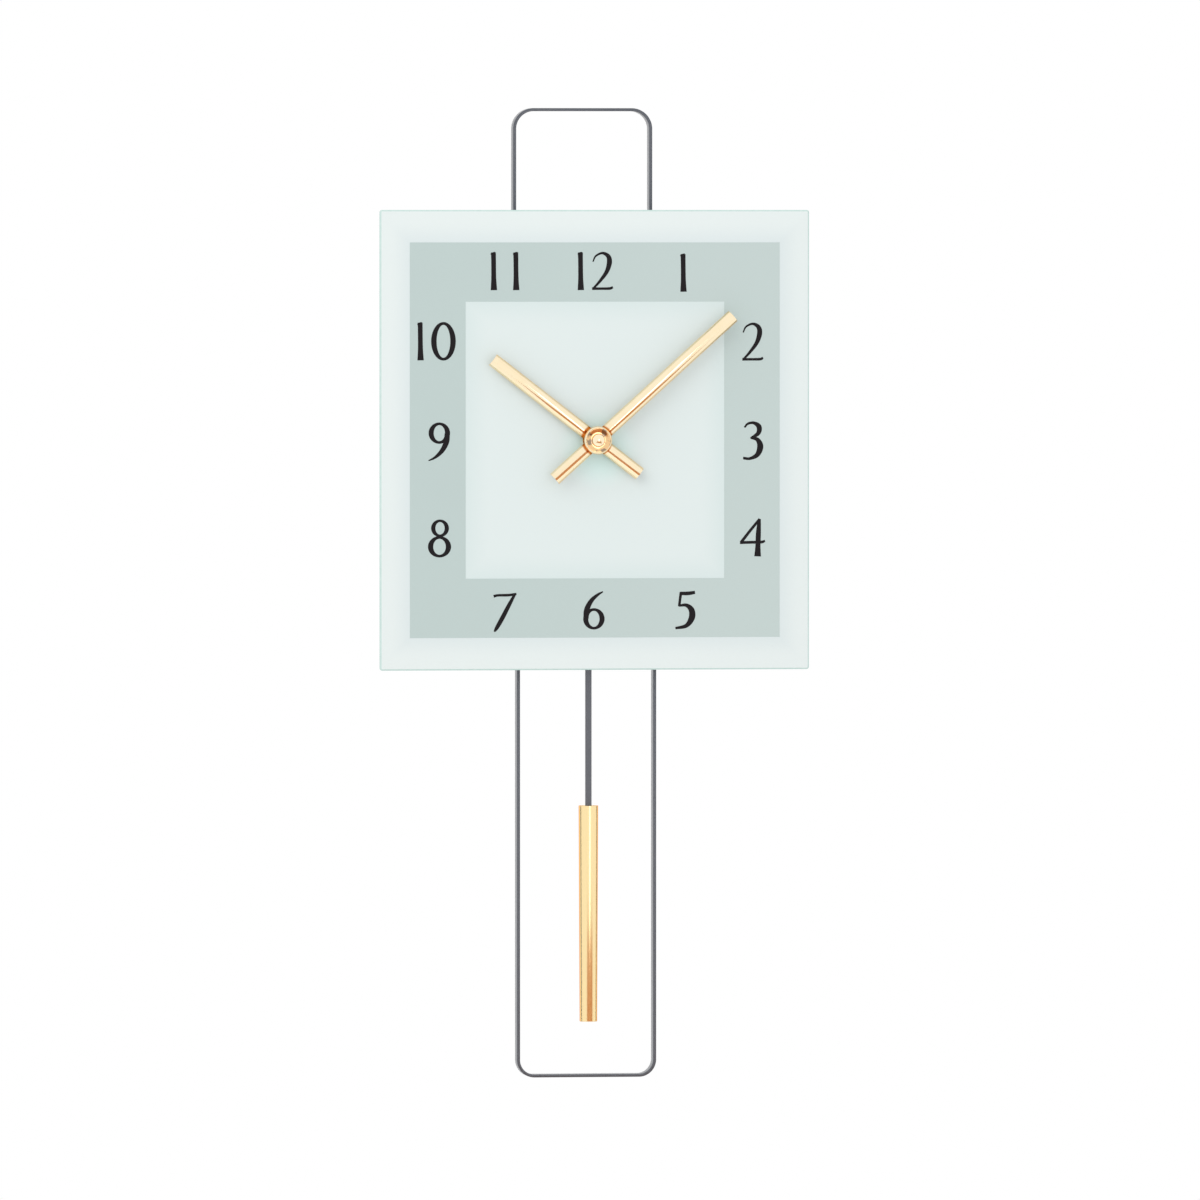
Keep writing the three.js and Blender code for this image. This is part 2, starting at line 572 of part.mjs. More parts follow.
// ---- the stepping motor: rotor with its ring magnet, stator, and a coil on its bobbin
{
  const magnet = { radius: 2.8, front: gearFloor + layer.stator - pressGap, thickness: 1.1 };
  const pinion = trainGear("rotor", rotorAt, layer.mid - pinionLead / 2, pinionLength - pinionLead);
  add("rotor_pinion", join(pinion, arbor(rotorAt)), whitePlastic);
  const magnetBack = magnet.front + magnet.thickness;
  const ring = ringY(magnet.radius, arborRadius + pressGap, magnet.front, magnetBack, rotorAt, 20);
  add("rotor_magnet", ring, greySteel);

  const coil = { x: 23.3, y: gearFloor + 6, z0: -12, z1: 5, radius: 3.6, core: 1.5, flange: 0.8, rim: 0.4 };
  const leg = { side: 5, outside: 4, below: 2, above: 6, corner: 1.5, inside: 3, thickness: 0.8, gap: 0.6 };
  const y0 = gearFloor + layer.stator;
  const y1 = y0 + leg.thickness;
  const stator = plate(
    roundedRectangle(
      rotorAt.x - leg.side, coil.x + leg.outside, coil.z0 - leg.below, rotorAt.z + leg.above, leg.corner),
    y0, y1, 3,
  );
  const pole = roundY(magnet.radius + leg.gap, y0 - past, y1 + past, rotorAt, 20);
  const window = block(
    rotorAt.x - leg.side - past, coil.x - leg.inside, y0 - past, y1 + past,
    coil.z0 - leg.below - past, coil.z1,
  );
  add("stator_plate", cut(stator, pole, window), zincSteel);

  const alongZ = (radius, z0, z1) =>
    new THREE.CylinderGeometry(radius, radius, z1 - z0, 20)
      .rotateX(Math.PI / 2)
      .translate(coil.x, coil.y, (z0 + z1) / 2);
  const reel = join(
    alongZ(coil.core, coil.z0, coil.z1),
    alongZ(coil.radius + coil.rim, coil.z0, coil.z0 + coil.flange),
    alongZ(coil.radius + coil.rim, coil.z1 - coil.flange, coil.z1),
  );
  add("coil_bobbin", reel, whitePlastic);
  const winding = cut(
    alongZ(coil.radius, coil.z0 + coil.flange + pressGap, coil.z1 - coil.flange - pressGap),
    alongZ(coil.core + pressGap, coil.z0 - past, coil.z1 + past),
  );
  add("coil_winding", winding, copper);
}

// ---- the board with its crystal and the resin drop over its chip
{
  const board = { x0: -27.5, x1: -3, z0: -28.5, z1: -9, depth: 9, thickness: 1 };
  const y0 = gearFloor + board.depth;
  add("circuit_board", block(board.x0, board.x1, y0, y0 + board.thickness, board.z0, board.z1), boardGreen);
  const crystal = { radius: 1.1, length: 6.5, inset: 5 };
  const crystalX = board.x0 + crystal.inset;
  const crystalY = y0 - crystal.radius - seatGap;
  add(
    "quartz_crystal",
    roundX(crystal.radius, crystalX, crystalX + crystal.length, crystalY, board.z1 - crystal.inset, 14),
    zincSteel,
  );
  const drop = { radius: 3.2, height: 1.3, inset: 8 };
  const flank = [3, 2, 1, 0].map((step) => {
    const turn = (step * Math.PI) / 8;
    return [drop.radius * Math.cos(turn), -drop.height * Math.sin(turn)];
  });
  const chipAt = { x: board.x1 - drop.inset, z: board.z0 + drop.inset };
  const chip = turned([[0, -drop.height], ...flank, [0, 0]], chipAt, 16).translate(0, y0 - pressGap, 0);
  add("control_chip", chip, blackPlastic);
}

// ---- the cell and its contacts, in the bay that opens to the back
{
  const cell = { radius: 7.1, length: 49, base: 5.6, bevel: 0.9, nub: 1.2, nubRadius: 2.7 };
  const z = (movement.bottom + movement.wall + movement.bayTop) / 2;
  const y = movementFront + movement.bayWall + seatGap + cell.radius;
  const half = cell.length / 2;
  const profile = [
    [0, -half], [cell.base, -half], [cell.radius, -half + cell.bevel],
    [cell.radius, half - cell.bevel], [cell.radius - cell.bevel, half],
    [cell.nubRadius, half], [cell.nubRadius, half + cell.nub], [0, half + cell.nub],
  ];
  const can = turned(profile, centre, 28).rotateZ(-Math.PI / 2).translate(0, y, z);
  add("battery", can, batteryJacket);

  const spring = { wide: 4.4, narrow: 2.5, turns: 3, stepsPerTurn: 8, wire: 0.3 };
  const tab = { half: 5.5, back: 5, thickness: 0.4, nubHalf: 2 };
  const wallX = movement.halfWidth - movement.wall - turnGap;
  const contact = (x0) =>
    block(x0, x0 + tab.thickness, y - tab.half, y + tab.back, z - tab.half, z + tab.half);
  const { nubHalf } = tab;
  const nubX = half + cell.nub + turnGap;
  const bump = block(nubX, wallX - sink, y - nubHalf, y + nubHalf, z - nubHalf, z + nubHalf);
  add("battery_contact_positive", join(contact(wallX - tab.thickness), bump), zincSteel);

  const coilStart = -wallX + tab.thickness + spring.wire / 2;
  const coilEnd = -half - spring.wire - turnGap - pressGap;
  class ConeSpring extends THREE.Curve {
    getPoint(t) {
      const angle = 2 * Math.PI * spring.turns * t;
      const radius = spring.wide + (spring.narrow - spring.wide) * t;
      const x = coilStart + (coilEnd - coilStart) * t;
      return new THREE.Vector3(x, y + radius * Math.cos(angle), z + radius * Math.sin(angle));
    }
  }
  const wire = new THREE.Shape();
  wire.absarc(0, 0, spring.wire, 0, 2 * Math.PI, false);
  const coiled = new THREE.ExtrudeGeometry(wire, {
    extrudePath: new ConeSpring(),
    steps: spring.turns * spring.stepsPerTurn,
    curveSegments: 2,
    bevelEnabled: false,
  });
  add("battery_contact_negative", join(contact(-wallX), coiled), zincSteel);
}

// ---- the hands: a half-round channel of brass sheet, a solid middle and a collet ring
function handSection(width, height) {
  const half = width / 2;
  const radius = (half * half + height * height) / (2 * height);
  const sweep = Math.asin(half / radius);
  const section = new THREE.Shape();
  section.moveTo(half, 0);
  section.lineTo(-half, 0);
  section.absarc(0, radius - height, radius, -Math.PI / 2 - sweep, -Math.PI / 2 + sweep, false);
  return section;
}

function channel(width, height, from, to, back) {
  return new THREE.ExtrudeGeometry(handSection(width, height), {
    depth: to - from,
    bevelEnabled: false,
    curveSegments: 8,
  }).translate(0, back, from);
}

function addHand(name, lengths, back, shaft) {
  const blank = toSolid(channel(hand.width, hand.height, -lengths.tail, lengths.tip, back));
  const insideWidth = hand.width - 2 * hand.wall;
  const insideHeight = hand.height - hand.wall;
  const hollow = channel(insideWidth, insideHeight, -lengths.tail - past, lengths.tip + past, back + hair);
  const middle = toSolid(roundY(hand.hub, back - hand.height, back)).intersect(blank);
  const bore = roundY(shaft + collet + seatGap, back - hand.height - past, back + past);
  const shell = blank.subtract(toSolid(hollow)).add(middle).subtract(toSolid(bore));
  const mesh = add(name, toGeometry(shell), brass);
  mesh.rotation.y = radians(lengths.angle);
  const ringFront = back - hand.height + sink;
  const ring = ringY(shaft + collet + sink, shaft + pressGap / 2, ringFront, back, centre, 24);
  add(`${name}_collet`, ring, brass);
}

addHand("hour_hand", hourHand, hourHandBack, hourPipe.outer);
addHand("minute_hand", minuteHand, minuteHandBack, minuteArbor);

// The cap hides the ends of the shafts: a dished disc with a small cone, and a socket at its back.
{
  const socketFloor = capBack - cap.socket;
  const bore = minuteArbor + pressGap;
  const face = capBack - cap.thickness;
  const dish = face + cap.dish;
  const profile = [
    [0, dish - capBoss.height],
    [capBoss.tip, dish - capBoss.height + capBoss.tipHeight],
    [capBoss.radius - capBoss.foot, dish - capBoss.shoulder],
    [capBoss.radius, dish - seatGap],
    [capBoss.radius + capBoss.foot, dish],
    [cap.radius - cap.rim, face],
    [cap.radius, capBack - cap.chamfer - cap.edge],
    [cap.radius, capBack - cap.chamfer],
    [cap.radius - cap.chamfer, capBack],
    [bore, capBack],
    [bore, socketFloor],
    [0, socketFloor],
  ];
  add("hand_cap", turned(profile, centre, 28), brass);
}

// ---- the pendulum's pivot on the movement's back, its clip, and the coil that drives it
{
  const pinBack = pendulumY + pivot.pinReach;
  const clipBack = pinBack - pivot.pinProud;
  add("pendulum_pivot_pin", roundY(pivot.pin, coverFront + pressGap, pinBack, pivotAt, 16), zincSteel);
  add(
    "pivot_clip",
    ringY(pivot.clip, pivot.pin + pressGap / 2, clipBack - pivot.clipThickness, clipBack, pivotAt, 20),
    zincSteel,
  );
  const coilFront = coverBack + pressGap;
  add("drive_coil", ringY(driveCoil.outer, driveCoil.inner, coilFront, coilBack, coilAt, 28), copper);
}

// ---- the pendulum's hanger: an arm with its eye on the pin, a cup for the magnet, and a tongue with a peg
{
  const armFront = pendulumY - hangerArm.halfThickness;
  const armBack = pendulumY + hangerArm.halfThickness;
  const tongueBack = pendulumY - rod.thickness / 2 - seatGap;
  const { halfWidth } = hangerArm;
  const hookAt = { x: 0, z: hook.height };
  const armBottom = hook.height + hangerArm.overHook;
  const arm = block(-halfWidth, halfWidth, armFront, armBack, armBottom, pivot.height);
  const eye = roundY(hangerArm.eye, armFront, armBack + hangerArm.eyeProud, pivotAt, 20);
  const cup = roundY(driveMagnet.radius + driveMagnet.rim, armFront, armBack, coilAt);
  const tongueOutline = roundedRectangle(
    -halfWidth, halfWidth, hook.height - hook.tongue, armBottom + past, hook.corner);
  const tongue = plate(tongueOutline, armFront, tongueBack, 3);
  const peg = roundY(hook.peg, armFront, pendulumY + hook.reach, hookAt, 14);
  const pegHead = roundY(hook.head, pendulumY + hook.headBack, pendulumY + hook.reach, hookAt, 14);
  add(
    "pendulum_hanger",
    cut(
      join(arm, eye, cup, tongue, peg, pegHead),
      boreY(pivot.pin + turnGap, pivotAt, 16),
      roundY(driveMagnet.radius + pressGap, armFront - past, armFront + driveMagnet.thickness, coilAt),
    ),
    whitePlastic,
  );
  const magnetFront = armFront - driveMagnet.proud;
  const magnetBack = magnetFront + driveMagnet.thickness - pressGap;
  add("pendulum_magnet", roundY(driveMagnet.radius, magnetFront, magnetBack, coilAt), greySteel);
}

// ---- the rod hangs by its eyelet on the hanger's peg and ends inside the bob's top plug
const rodBottom = bob.top - rod.intoBob;
const rodHalf = { x: rod.width / 2, y: rod.thickness / 2 };
{
  const strip = roundedRectangle(-rodHalf.x, rodHalf.x, rodBottom, hook.height + rod.overPeg, rod.corner);
  const eyelet = new THREE.Path();
  eyelet.absarc(0, hook.height, rod.eye, 0, 2 * Math.PI, true);
  strip.holes.push(eyelet);
  add("pendulum_rod", plate(strip, pendulumY - rodHalf.y, pendulumY + rodHalf.y, 5), greySteel);
}

// ---- the bob: a slightly tapered tube with a plug in each end
{
  const alongZ = (profile) => turned(profile, centre, 28).rotateX(Math.PI / 2).translate(0, pendulumY, 0);
  const taper = (bob.topRadius - bob.bottomRadius) / (bob.top - bob.bottom);
  const radiusAt = (z) => bob.bottomRadius + (z - bob.bottom) * taper;
  const tube = [
    [bob.bottomRadius - bob.wall, bob.bottom],
    [bob.bottomRadius, bob.bottom],
    [bob.topRadius, bob.top],
    [bob.topRadius - bob.wall, bob.top],
    [bob.bottomRadius - bob.wall, bob.bottom],
  ];
  add("bob_tube", alongZ(tube), brass);
  const plug = (z0) => {
    const z1 = z0 + bob.plug;
    const play = bob.wall + pressGap;
    return alongZ([[0, z0], [radiusAt(z0) - play, z0], [radiusAt(z1) - play, z1], [0, z1]]);
  };
  const slot = block(
    -rodHalf.x - pressGap, rodHalf.x + pressGap,
    pendulumY - rodHalf.y - pressGap, pendulumY + rodHalf.y + pressGap,
    rodBottom + past, bob.top + past,
  );
  add("bob_top_plug", cut(plug(bob.top - bob.plug - seatGap), slot), brass);
  add("bob_bottom_plug", plug(bob.bottom + seatGap), brass);
}

export default clock;
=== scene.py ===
# Pendulum wall clock: a satin glass dial with brass hands, anthracite flat-bar loops and a brass pendulum,
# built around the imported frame. The wall is the plane y = 0 and the dial faces -Y. Blender 4.5, metres.
import json
import math

import bpy
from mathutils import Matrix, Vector

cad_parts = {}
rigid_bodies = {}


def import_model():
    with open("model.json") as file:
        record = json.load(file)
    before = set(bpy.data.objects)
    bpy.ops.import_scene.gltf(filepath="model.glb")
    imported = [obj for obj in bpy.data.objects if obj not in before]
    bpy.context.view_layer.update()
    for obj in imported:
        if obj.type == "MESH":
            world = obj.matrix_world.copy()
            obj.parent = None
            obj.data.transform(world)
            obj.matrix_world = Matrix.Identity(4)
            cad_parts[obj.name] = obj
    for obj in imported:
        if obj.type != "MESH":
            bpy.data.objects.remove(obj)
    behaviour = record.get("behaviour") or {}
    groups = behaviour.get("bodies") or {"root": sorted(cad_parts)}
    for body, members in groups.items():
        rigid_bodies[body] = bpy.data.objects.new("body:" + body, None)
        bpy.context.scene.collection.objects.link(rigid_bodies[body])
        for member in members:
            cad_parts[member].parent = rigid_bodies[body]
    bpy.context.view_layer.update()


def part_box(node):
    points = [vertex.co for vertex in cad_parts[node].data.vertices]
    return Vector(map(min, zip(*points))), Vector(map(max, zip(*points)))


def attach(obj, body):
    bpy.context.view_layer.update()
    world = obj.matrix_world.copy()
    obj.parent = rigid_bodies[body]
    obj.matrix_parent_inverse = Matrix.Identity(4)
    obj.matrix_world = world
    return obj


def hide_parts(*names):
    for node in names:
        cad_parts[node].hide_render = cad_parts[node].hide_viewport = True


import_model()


# ---------------------------------------------------------------- the studio
# A white tent lit all round, so what is seen behind the clock is plain white. A broad soft box high on the left
# gives the light its direction, a tall strip draws the bright line down the bob, and a brown card that shows only
# in polished metal gives the brass its dark lines.
MM = 0.001
LIGHT_DROP = 0.1  # how far below the hand axis the lights are aimed
FLOOR_RADIUS = 1.4
FLOOR_Z = -1.25
VIEW_AZIMUTH = math.radians(-8)
VIEW_ELEVATION = math.radians(1.35)
VIEW_DISTANCE = 10.0
VIEW_ASIDE = 3.0 * MM  # the middle of the view, from the hand axis
VIEW_DROP = 96 * MM


def linear(hex_colour):
    """An sRGB hex colour as linear red, green, blue and an alpha of 1."""
    channels = [int(hex_colour[i:i + 2], 16) / 255 for i in (0, 2, 4)]
    return (*[c / 12.92 if c <= 0.04045 else ((c + 0.055) / 1.055) ** 2.4 for c in channels], 1.0)


def add_node(tree, kind, inputs=None, **settings):
    """Adds a node, sets its settings, and gives each named input its value or the socket that feeds it."""
    node = tree.nodes.new(kind)
    for name, value in settings.items():
        setattr(node, name, value)
    for name, value in (inputs or {}).items():
        if isinstance(value, bpy.types.NodeSocket):
            tree.links.new(value, node.inputs[name])
        else:
            node.inputs[name].default_value = value
    return node


def new_material(name, roughness, metallic=0.0):
    """A node material with one Principled shader, returned with its tree and shader."""
    material = bpy.data.materials.new(name)
    material.use_nodes = True
    shader = material.node_tree.nodes["Principled BSDF"]
    shader.inputs["Roughness"].default_value = roughness
    shader.inputs["Metallic"].default_value = metallic
    return material, material.node_tree, shader


def soft_box(name, place, size, power, colour):
    """A rectangular soft light aimed at the middle of the clock."""
    data = bpy.data.lights.new(name, "AREA")
    data.shape = "RECTANGLE"
    data.size, data.size_y = size
    data.energy = power
    data.color = linear(colour)[:3]
    light = bpy.data.objects.new(name, data)
    bpy.context.collection.objects.link(light)
    light.location = place
    aim = Vector((0, GLASS_FRONT, HAND_AXIS_Z - LIGHT_DROP)) - light.location
    light.rotation_euler = aim.to_track_quat("-Z", "Y").to_euler()
    light.visible_camera = False
    return light


view_settings = bpy.context.scene.view_settings
view_settings.view_transform = "Standard"
view_settings.look = "None"

tent = bpy.data.worlds.new("white_tent")
bpy.context.scene.world = tent
tent.use_nodes = True
tent.node_tree.nodes["Background"].inputs["Color"].default_value = (1.0, 1.0, 1.0, 1.0)
tent.node_tree.nodes["Background"].inputs["Strength"].default_value = 1.0

axis_low, axis_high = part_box("threaded_bush")
HAND_AXIS_Z = (axis_low.z + axis_high.z) / 2
GLASS_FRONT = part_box("glass_dial_panel")[0].y

key = soft_box("key_soft_box", place=(-1.9, -2.3, 1.7), size=(2.8, 2.8), power=38, colour="fffdf6")
key.visible_glossy = False
soft_box("strip_soft_box", place=(0.36, -2.1, -0.2), size=(0.24, 1.6), power=3.2, colour="ffffff")

bpy.ops.object.select_all(action="DESELECT")
bpy.ops.mesh.primitive_plane_add(size=1, location=(0, 0, 0))
card = bpy.context.object
card.name = "brown_card"
card.scale = (2.6, 0.95, 1)
card.location = (0.35, -1.75, -0.98)
card_aim = Vector((0, GLASS_FRONT, HAND_AXIS_Z)) - card.location
card.rotation_euler = card_aim.to_track_quat("Z", "Y").to_euler()
bpy.ops.object.transform_apply(location=True, rotation=True, scale=True)
# Brown card: an even warm brown in every reflection, whatever the light on it.
board = bpy.data.materials.new("brown_card")
board.use_nodes = True
board.node_tree.nodes.clear()
board_glow = add_node(board.node_tree, "ShaderNodeEmission", {"Color": linear("c88c60"), "Strength": 1.0})
add_node(board.node_tree, "ShaderNodeOutputMaterial", {"Surface": board_glow.outputs[0]})
card.data.materials.append(board)
card.visible_camera = False
card.visible_diffuse = False
card.visible_transmission = False
card.visible_shadow = False

bpy.ops.object.select_all(action="DESELECT")
bpy.ops.mesh.primitive_circle_add(vertices=96, radius=FLOOR_RADIUS, fill_type="NGON", location=(0, 0, FLOOR_Z))
floor = bpy.context.object
floor.name = "studio_floor"
bpy.ops.object.transform_apply(location=True, rotation=True, scale=True)
# Seamless background paper: matt and pale, with a faint cloud of fibres a few millimetres across.
seamless_paper, paper_tree, paper_shader = new_material("seamless_paper", 0.9)
paper_place = add_node(paper_tree, "ShaderNodeTexCoord").outputs["Object"]
paper_fibre = add_node(paper_tree, "ShaderNodeTexNoise", {"Vector": paper_place, "Scale": 300.0, "Detail": 4.0})
paper_tone = add_node(
    paper_tree, "ShaderNodeMix",
    {"Factor": paper_fibre.outputs["Fac"], "A": linear("f1f1ef"), "B": linear("f7f7f5")}, data_type="RGBA")
paper_tree.links.new(paper_tone.outputs["Result"], paper_shader.inputs["Base Color"])
floor.data.materials.append(seamless_paper)

aim_point = Vector((VIEW_ASIDE, GLASS_FRONT, HAND_AXIS_Z - VIEW_DROP))
camera_data = bpy.data.cameras.new("camera")
camera_data.lens = 500
camera_data.sensor_width = 36
camera_data.clip_end = 50
camera = bpy.data.objects.new("camera", camera_data)
bpy.context.collection.objects.link(camera)
back = Vector((
    math.sin(VIEW_AZIMUTH) * math.cos(VIEW_ELEVATION),
    -math.cos(VIEW_AZIMUTH) * math.cos(VIEW_ELEVATION),
    math.sin(VIEW_ELEVATION),
))
camera.location = aim_point + back * VIEW_DISTANCE
camera.rotation_euler = (-back).to_track_quat("-Z", "Y").to_euler()
bpy.context.scene.camera = camera


# ---------------------------------------------------------------- the dial glass
# One pane of 5 mm float glass, acid etched on its face and lacquered white behind, with ground and polished
# edges. It is bonded to the tray. The printed ring throws a soft green-grey shade into the thickness of the pane.
AXIS = Vector((0, 0, HAND_AXIS_Z))
RING_HALF = (112.0, 118.5)  # outer half width and half height of the printed ring
WINDOW_HALF = (78.3, 83.0)  # the clear window inside it
SHADE_START = -4.0  # the ring's shade is full from this far under its edges
SHADE_REACH = 13.0  # how far it runs into the glass outside, and a little further inside
WINDOW_SHADE_REACH = SHADE_REACH + 3.0
RING_MIDDLE = -17.0  # where the two shades meet, hidden under the ring
HUB_SHADE_CENTRE = (2.0, 0, -5.0)  # the hands' hub shades the pane a little below itself
HUB_SHADE_RANGE = (28.0, 6.0)  # none at the first radius, full at the second
PANE_CORNER = 1.5 * MM
PANE_ARRIS = 1.2 * MM
PANE_BORE_RADIUS = 5.2 * MM
PANE_BORE_DEPTH = 30 * MM
FLAT = 0.97  # a face counts as facing along Y from this share of its normal
ALONG = 0.9  # the same for an edge or a face along an axis
ACROSS = 0.1


def place_in_mm(tree, centre=(0.0, 0.0, 0.0)):
    """A piece's own coordinates in millimetres, counted from a centre given in metres."""
    own = add_node(tree, "ShaderNodeTexCoord").outputs["Object"]
    moved = add_node(
        tree, "ShaderNodeMapping",
        {"Vector": own, "Location": tuple(-c / MM for c in centre), "Scale": (1 / MM, 1 / MM, 1 / MM)})
    return moved.outputs["Vector"]


def start():
    """Leaves nothing selected before a new piece is begun."""
    if bpy.context.object and bpy.context.object.mode != "OBJECT":
        bpy.ops.object.mode_set(mode="OBJECT")
    bpy.ops.object.select_all(action="DESELECT")


def box_primitive(name, low, high):
    """A cube primitive stretched between two corners, with its place in its mesh."""
    start()
    bpy.ops.mesh.primitive_cube_add(size=1, location=(Vector(low) + Vector(high)) / 2)
    piece = bpy.context.object
    piece.name = name
    piece.scale = Vector(high) - Vector(low)
    bpy.ops.object.transform_apply(location=True, rotation=True, scale=True)
    return piece


def bevel_edges(piece, width, segments, wanted):
    """Rounds the edges whose direction passes a test."""
    bpy.ops.object.mode_set(mode="EDIT")
    bpy.ops.mesh.select_mode(type="EDGE")
    bpy.ops.mesh.select_all(action="DESELECT")
    bpy.ops.object.mode_set(mode="OBJECT")
    for edge in piece.data.edges:
        a, b = (piece.data.vertices[i].co for i in edge.vertices)
        edge.select = wanted((b - a).normalized())
    bpy.ops.object.mode_set(mode="EDIT")
    bpy.ops.mesh.bevel(offset=width, segments=segments, affect="EDGES")
    bpy.ops.object.mode_set(mode="OBJECT")


def finish_with(piece, kind, **settings):
    """Adds a modifier with its settings and applies it."""
    bpy.context.view_layer.objects.active = piece
    modifier = piece.modifiers.new(kind.lower(), kind)
    for name, value in settings.items():
        setattr(modifier, name, value)
    bpy.ops.object.modifier_apply(modifier=modifier.name)


def cut_hole(piece, radius, depth, place, sides):
    """Cuts a hole through a piece along Y, round or with as many sides as are given."""
    bpy.ops.object.select_all(action="DESELECT")
    bpy.ops.mesh.primitive_cylinder_add(
        vertices=sides, radius=radius, depth=depth, location=place, rotation=(math.pi / 2, 0, 0))
    drill = bpy.context.object
    finish_with(piece, "BOOLEAN", operation="DIFFERENCE", solver="EXACT", object=drill)
    bpy.data.objects.remove(drill, do_unlink=True)


def smooth(piece, degrees=35):
    """Shades a piece smooth, but for its corners."""
    bpy.ops.object.select_all(action="DESELECT")
    piece.select_set(True)
    bpy.context.view_layer.objects.active = piece
    bpy.ops.object.shade_smooth_by_angle(angle=math.radians(degrees))


# Acid-etched float glass over white lacquer: a soft pale face that shows no reflections, shaded green-grey round
# the printed ring and the hub. The etch's grain of some 0.05 mm is drawn 0.3 mm coarse.
etched_glass, glass_tree, glass_shader = new_material("etched_glass_lacquered_behind", 0.42)
glass_shader.inputs["IOR"].default_value = 1.52
glass_shader.inputs["Specular IOR Level"].default_value = 0.35
glass_place = place_in_mm(glass_tree, AXIS)
split = add_node(glass_tree, "ShaderNodeSeparateXYZ", {0: glass_place})
beyond_ring, within_window = [], []
for direction, ring_half, window_half in zip("XZ", RING_HALF, WINDOW_HALF):
    reach = add_node(glass_tree, "ShaderNodeMath", {0: split.outputs[direction]}, operation="ABSOLUTE")
    beyond_ring.append(add_node(
        glass_tree, "ShaderNodeMath", {0: reach.outputs[0], 1: ring_half}, operation="SUBTRACT"))
    within_window.append(add_node(
        glass_tree, "ShaderNodeMath", {0: window_half, 1: reach.outputs[0]}, operation="SUBTRACT"))
outside_ring = add_node(
    glass_tree, "ShaderNodeMath", {i: node.outputs[0] for i, node in enumerate(beyond_ring)},
    operation="MAXIMUM")
inside_window = add_node(
    glass_tree, "ShaderNodeMath", {i: node.outputs[0] for i, node in enumerate(within_window)},
    operation="MINIMUM")
outer_light = add_node(
    glass_tree, "ShaderNodeMapRange",
    {"Value": outside_ring.outputs[0], "From Min": SHADE_START, "From Max": SHADE_REACH},
    interpolation_type="SMOOTHSTEP")
window_light = add_node(
    glass_tree, "ShaderNodeMapRange",
    {"Value": inside_window.outputs[0], "From Min": SHADE_START, "From Max": WINDOW_SHADE_REACH},
    interpolation_type="SMOOTHSTEP")
outer_colour = add_node(
    glass_tree, "ShaderNodeMix",
    {"Factor": outer_light.outputs["Result"], "A": linear("c9d2d4"), "B": linear("d3dada")}, data_type="RGBA")
window_colour = add_node(
    glass_tree, "ShaderNodeMix",
    {"Factor": window_light.outputs["Result"], "A": linear("c6d2d2"), "B": linear("ced7d7")}, data_type="RGBA")
in_window = add_node(
    glass_tree, "ShaderNodeMath", {0: inside_window.outputs[0], 1: RING_MIDDLE}, operation="GREATER_THAN")
pane_colour = add_node(
    glass_tree, "ShaderNodeMix",
    {"Factor": in_window.outputs[0], "A": outer_colour.outputs["Result"], "B": window_colour.outputs["Result"]},
    data_type="RGBA")
from_hub = add_node(glass_tree, "ShaderNodeVectorMath", {0: glass_place, 1: HUB_SHADE_CENTRE}, operation="SUBTRACT")
flat_from_hub = add_node(
    glass_tree, "ShaderNodeVectorMath", {0: from_hub.outputs[0], 1: (1.0, 0.0, 1.0)}, operation="MULTIPLY")
hub_distance = add_node(glass_tree, "ShaderNodeVectorMath", {0: flat_from_hub.outputs[0]}, operation="LENGTH")
hub_shade = add_node(
    glass_tree, "ShaderNodeMapRange",
    {"Value": hub_distance.outputs["Value"], "From Min": HUB_SHADE_RANGE[0], "From Max": HUB_SHADE_RANGE[1]},
    interpolation_type="SMOOTHSTEP")
shaded_colour = add_node(
    glass_tree, "ShaderNodeMix",
    {"Factor": hub_shade.outputs["Result"], "A": pane_colour.outputs["Result"], "B": linear("cae4e2")},
    data_type="RGBA")
etch = add_node(glass_tree, "ShaderNodeTexNoise", {"Vector": glass_place, "Scale": 3.0, "Detail": 5.0})
cloud = add_node(glass_tree, "ShaderNodeTexNoise", {"Vector": glass_place, "Scale": 0.012, "Detail": 2.0})
faint_cloud = add_node(glass_tree, "ShaderNodeMath", {0: cloud.outputs["Fac"], 1: 0.12}, operation="MULTIPLY")
clouded_colour = add_node(
    glass_tree, "ShaderNodeMix",
    {"Factor": faint_cloud.outputs[0], "A": shaded_colour.outputs["Result"], "B": linear("c6d6d4")},
    data_type="RGBA")
glass_tree.links.new(clouded_colour.outputs["Result"], glass_shader.inputs["Base Color"])
etch_relief = add_node(
    glass_tree, "ShaderNodeBump", {"Height": etch.outputs["Fac"], "Distance": 0.006 * MM, "Strength": 1.0})
glass_tree.links.new(etch_relief.outputs["Normal"], glass_shader.inputs["Normal"])

# Ground and polished float glass edge: glossy, and green from the depth of glass behind it, in faint streaks.
polished_edge, edge_tree, edge_shader = new_material("polished_float_glass_edge", 0.08)
edge_shader.inputs["IOR"].default_value = 1.52
edge_place = place_in_mm(edge_tree, AXIS)
edge_streak = add_node(edge_tree, "ShaderNodeTexNoise", {"Vector": edge_place, "Scale": 0.35, "Detail": 3.0})
edge_colour = add_node(
    edge_tree, "ShaderNodeMix",
    {"Factor": edge_streak.outputs["Fac"], "A": linear("a9c4bf"), "B": linear("c4d6d3")}, data_type="RGBA")
edge_tree.links.new(edge_colour.outputs["Result"], edge_shader.inputs["Base Color"])

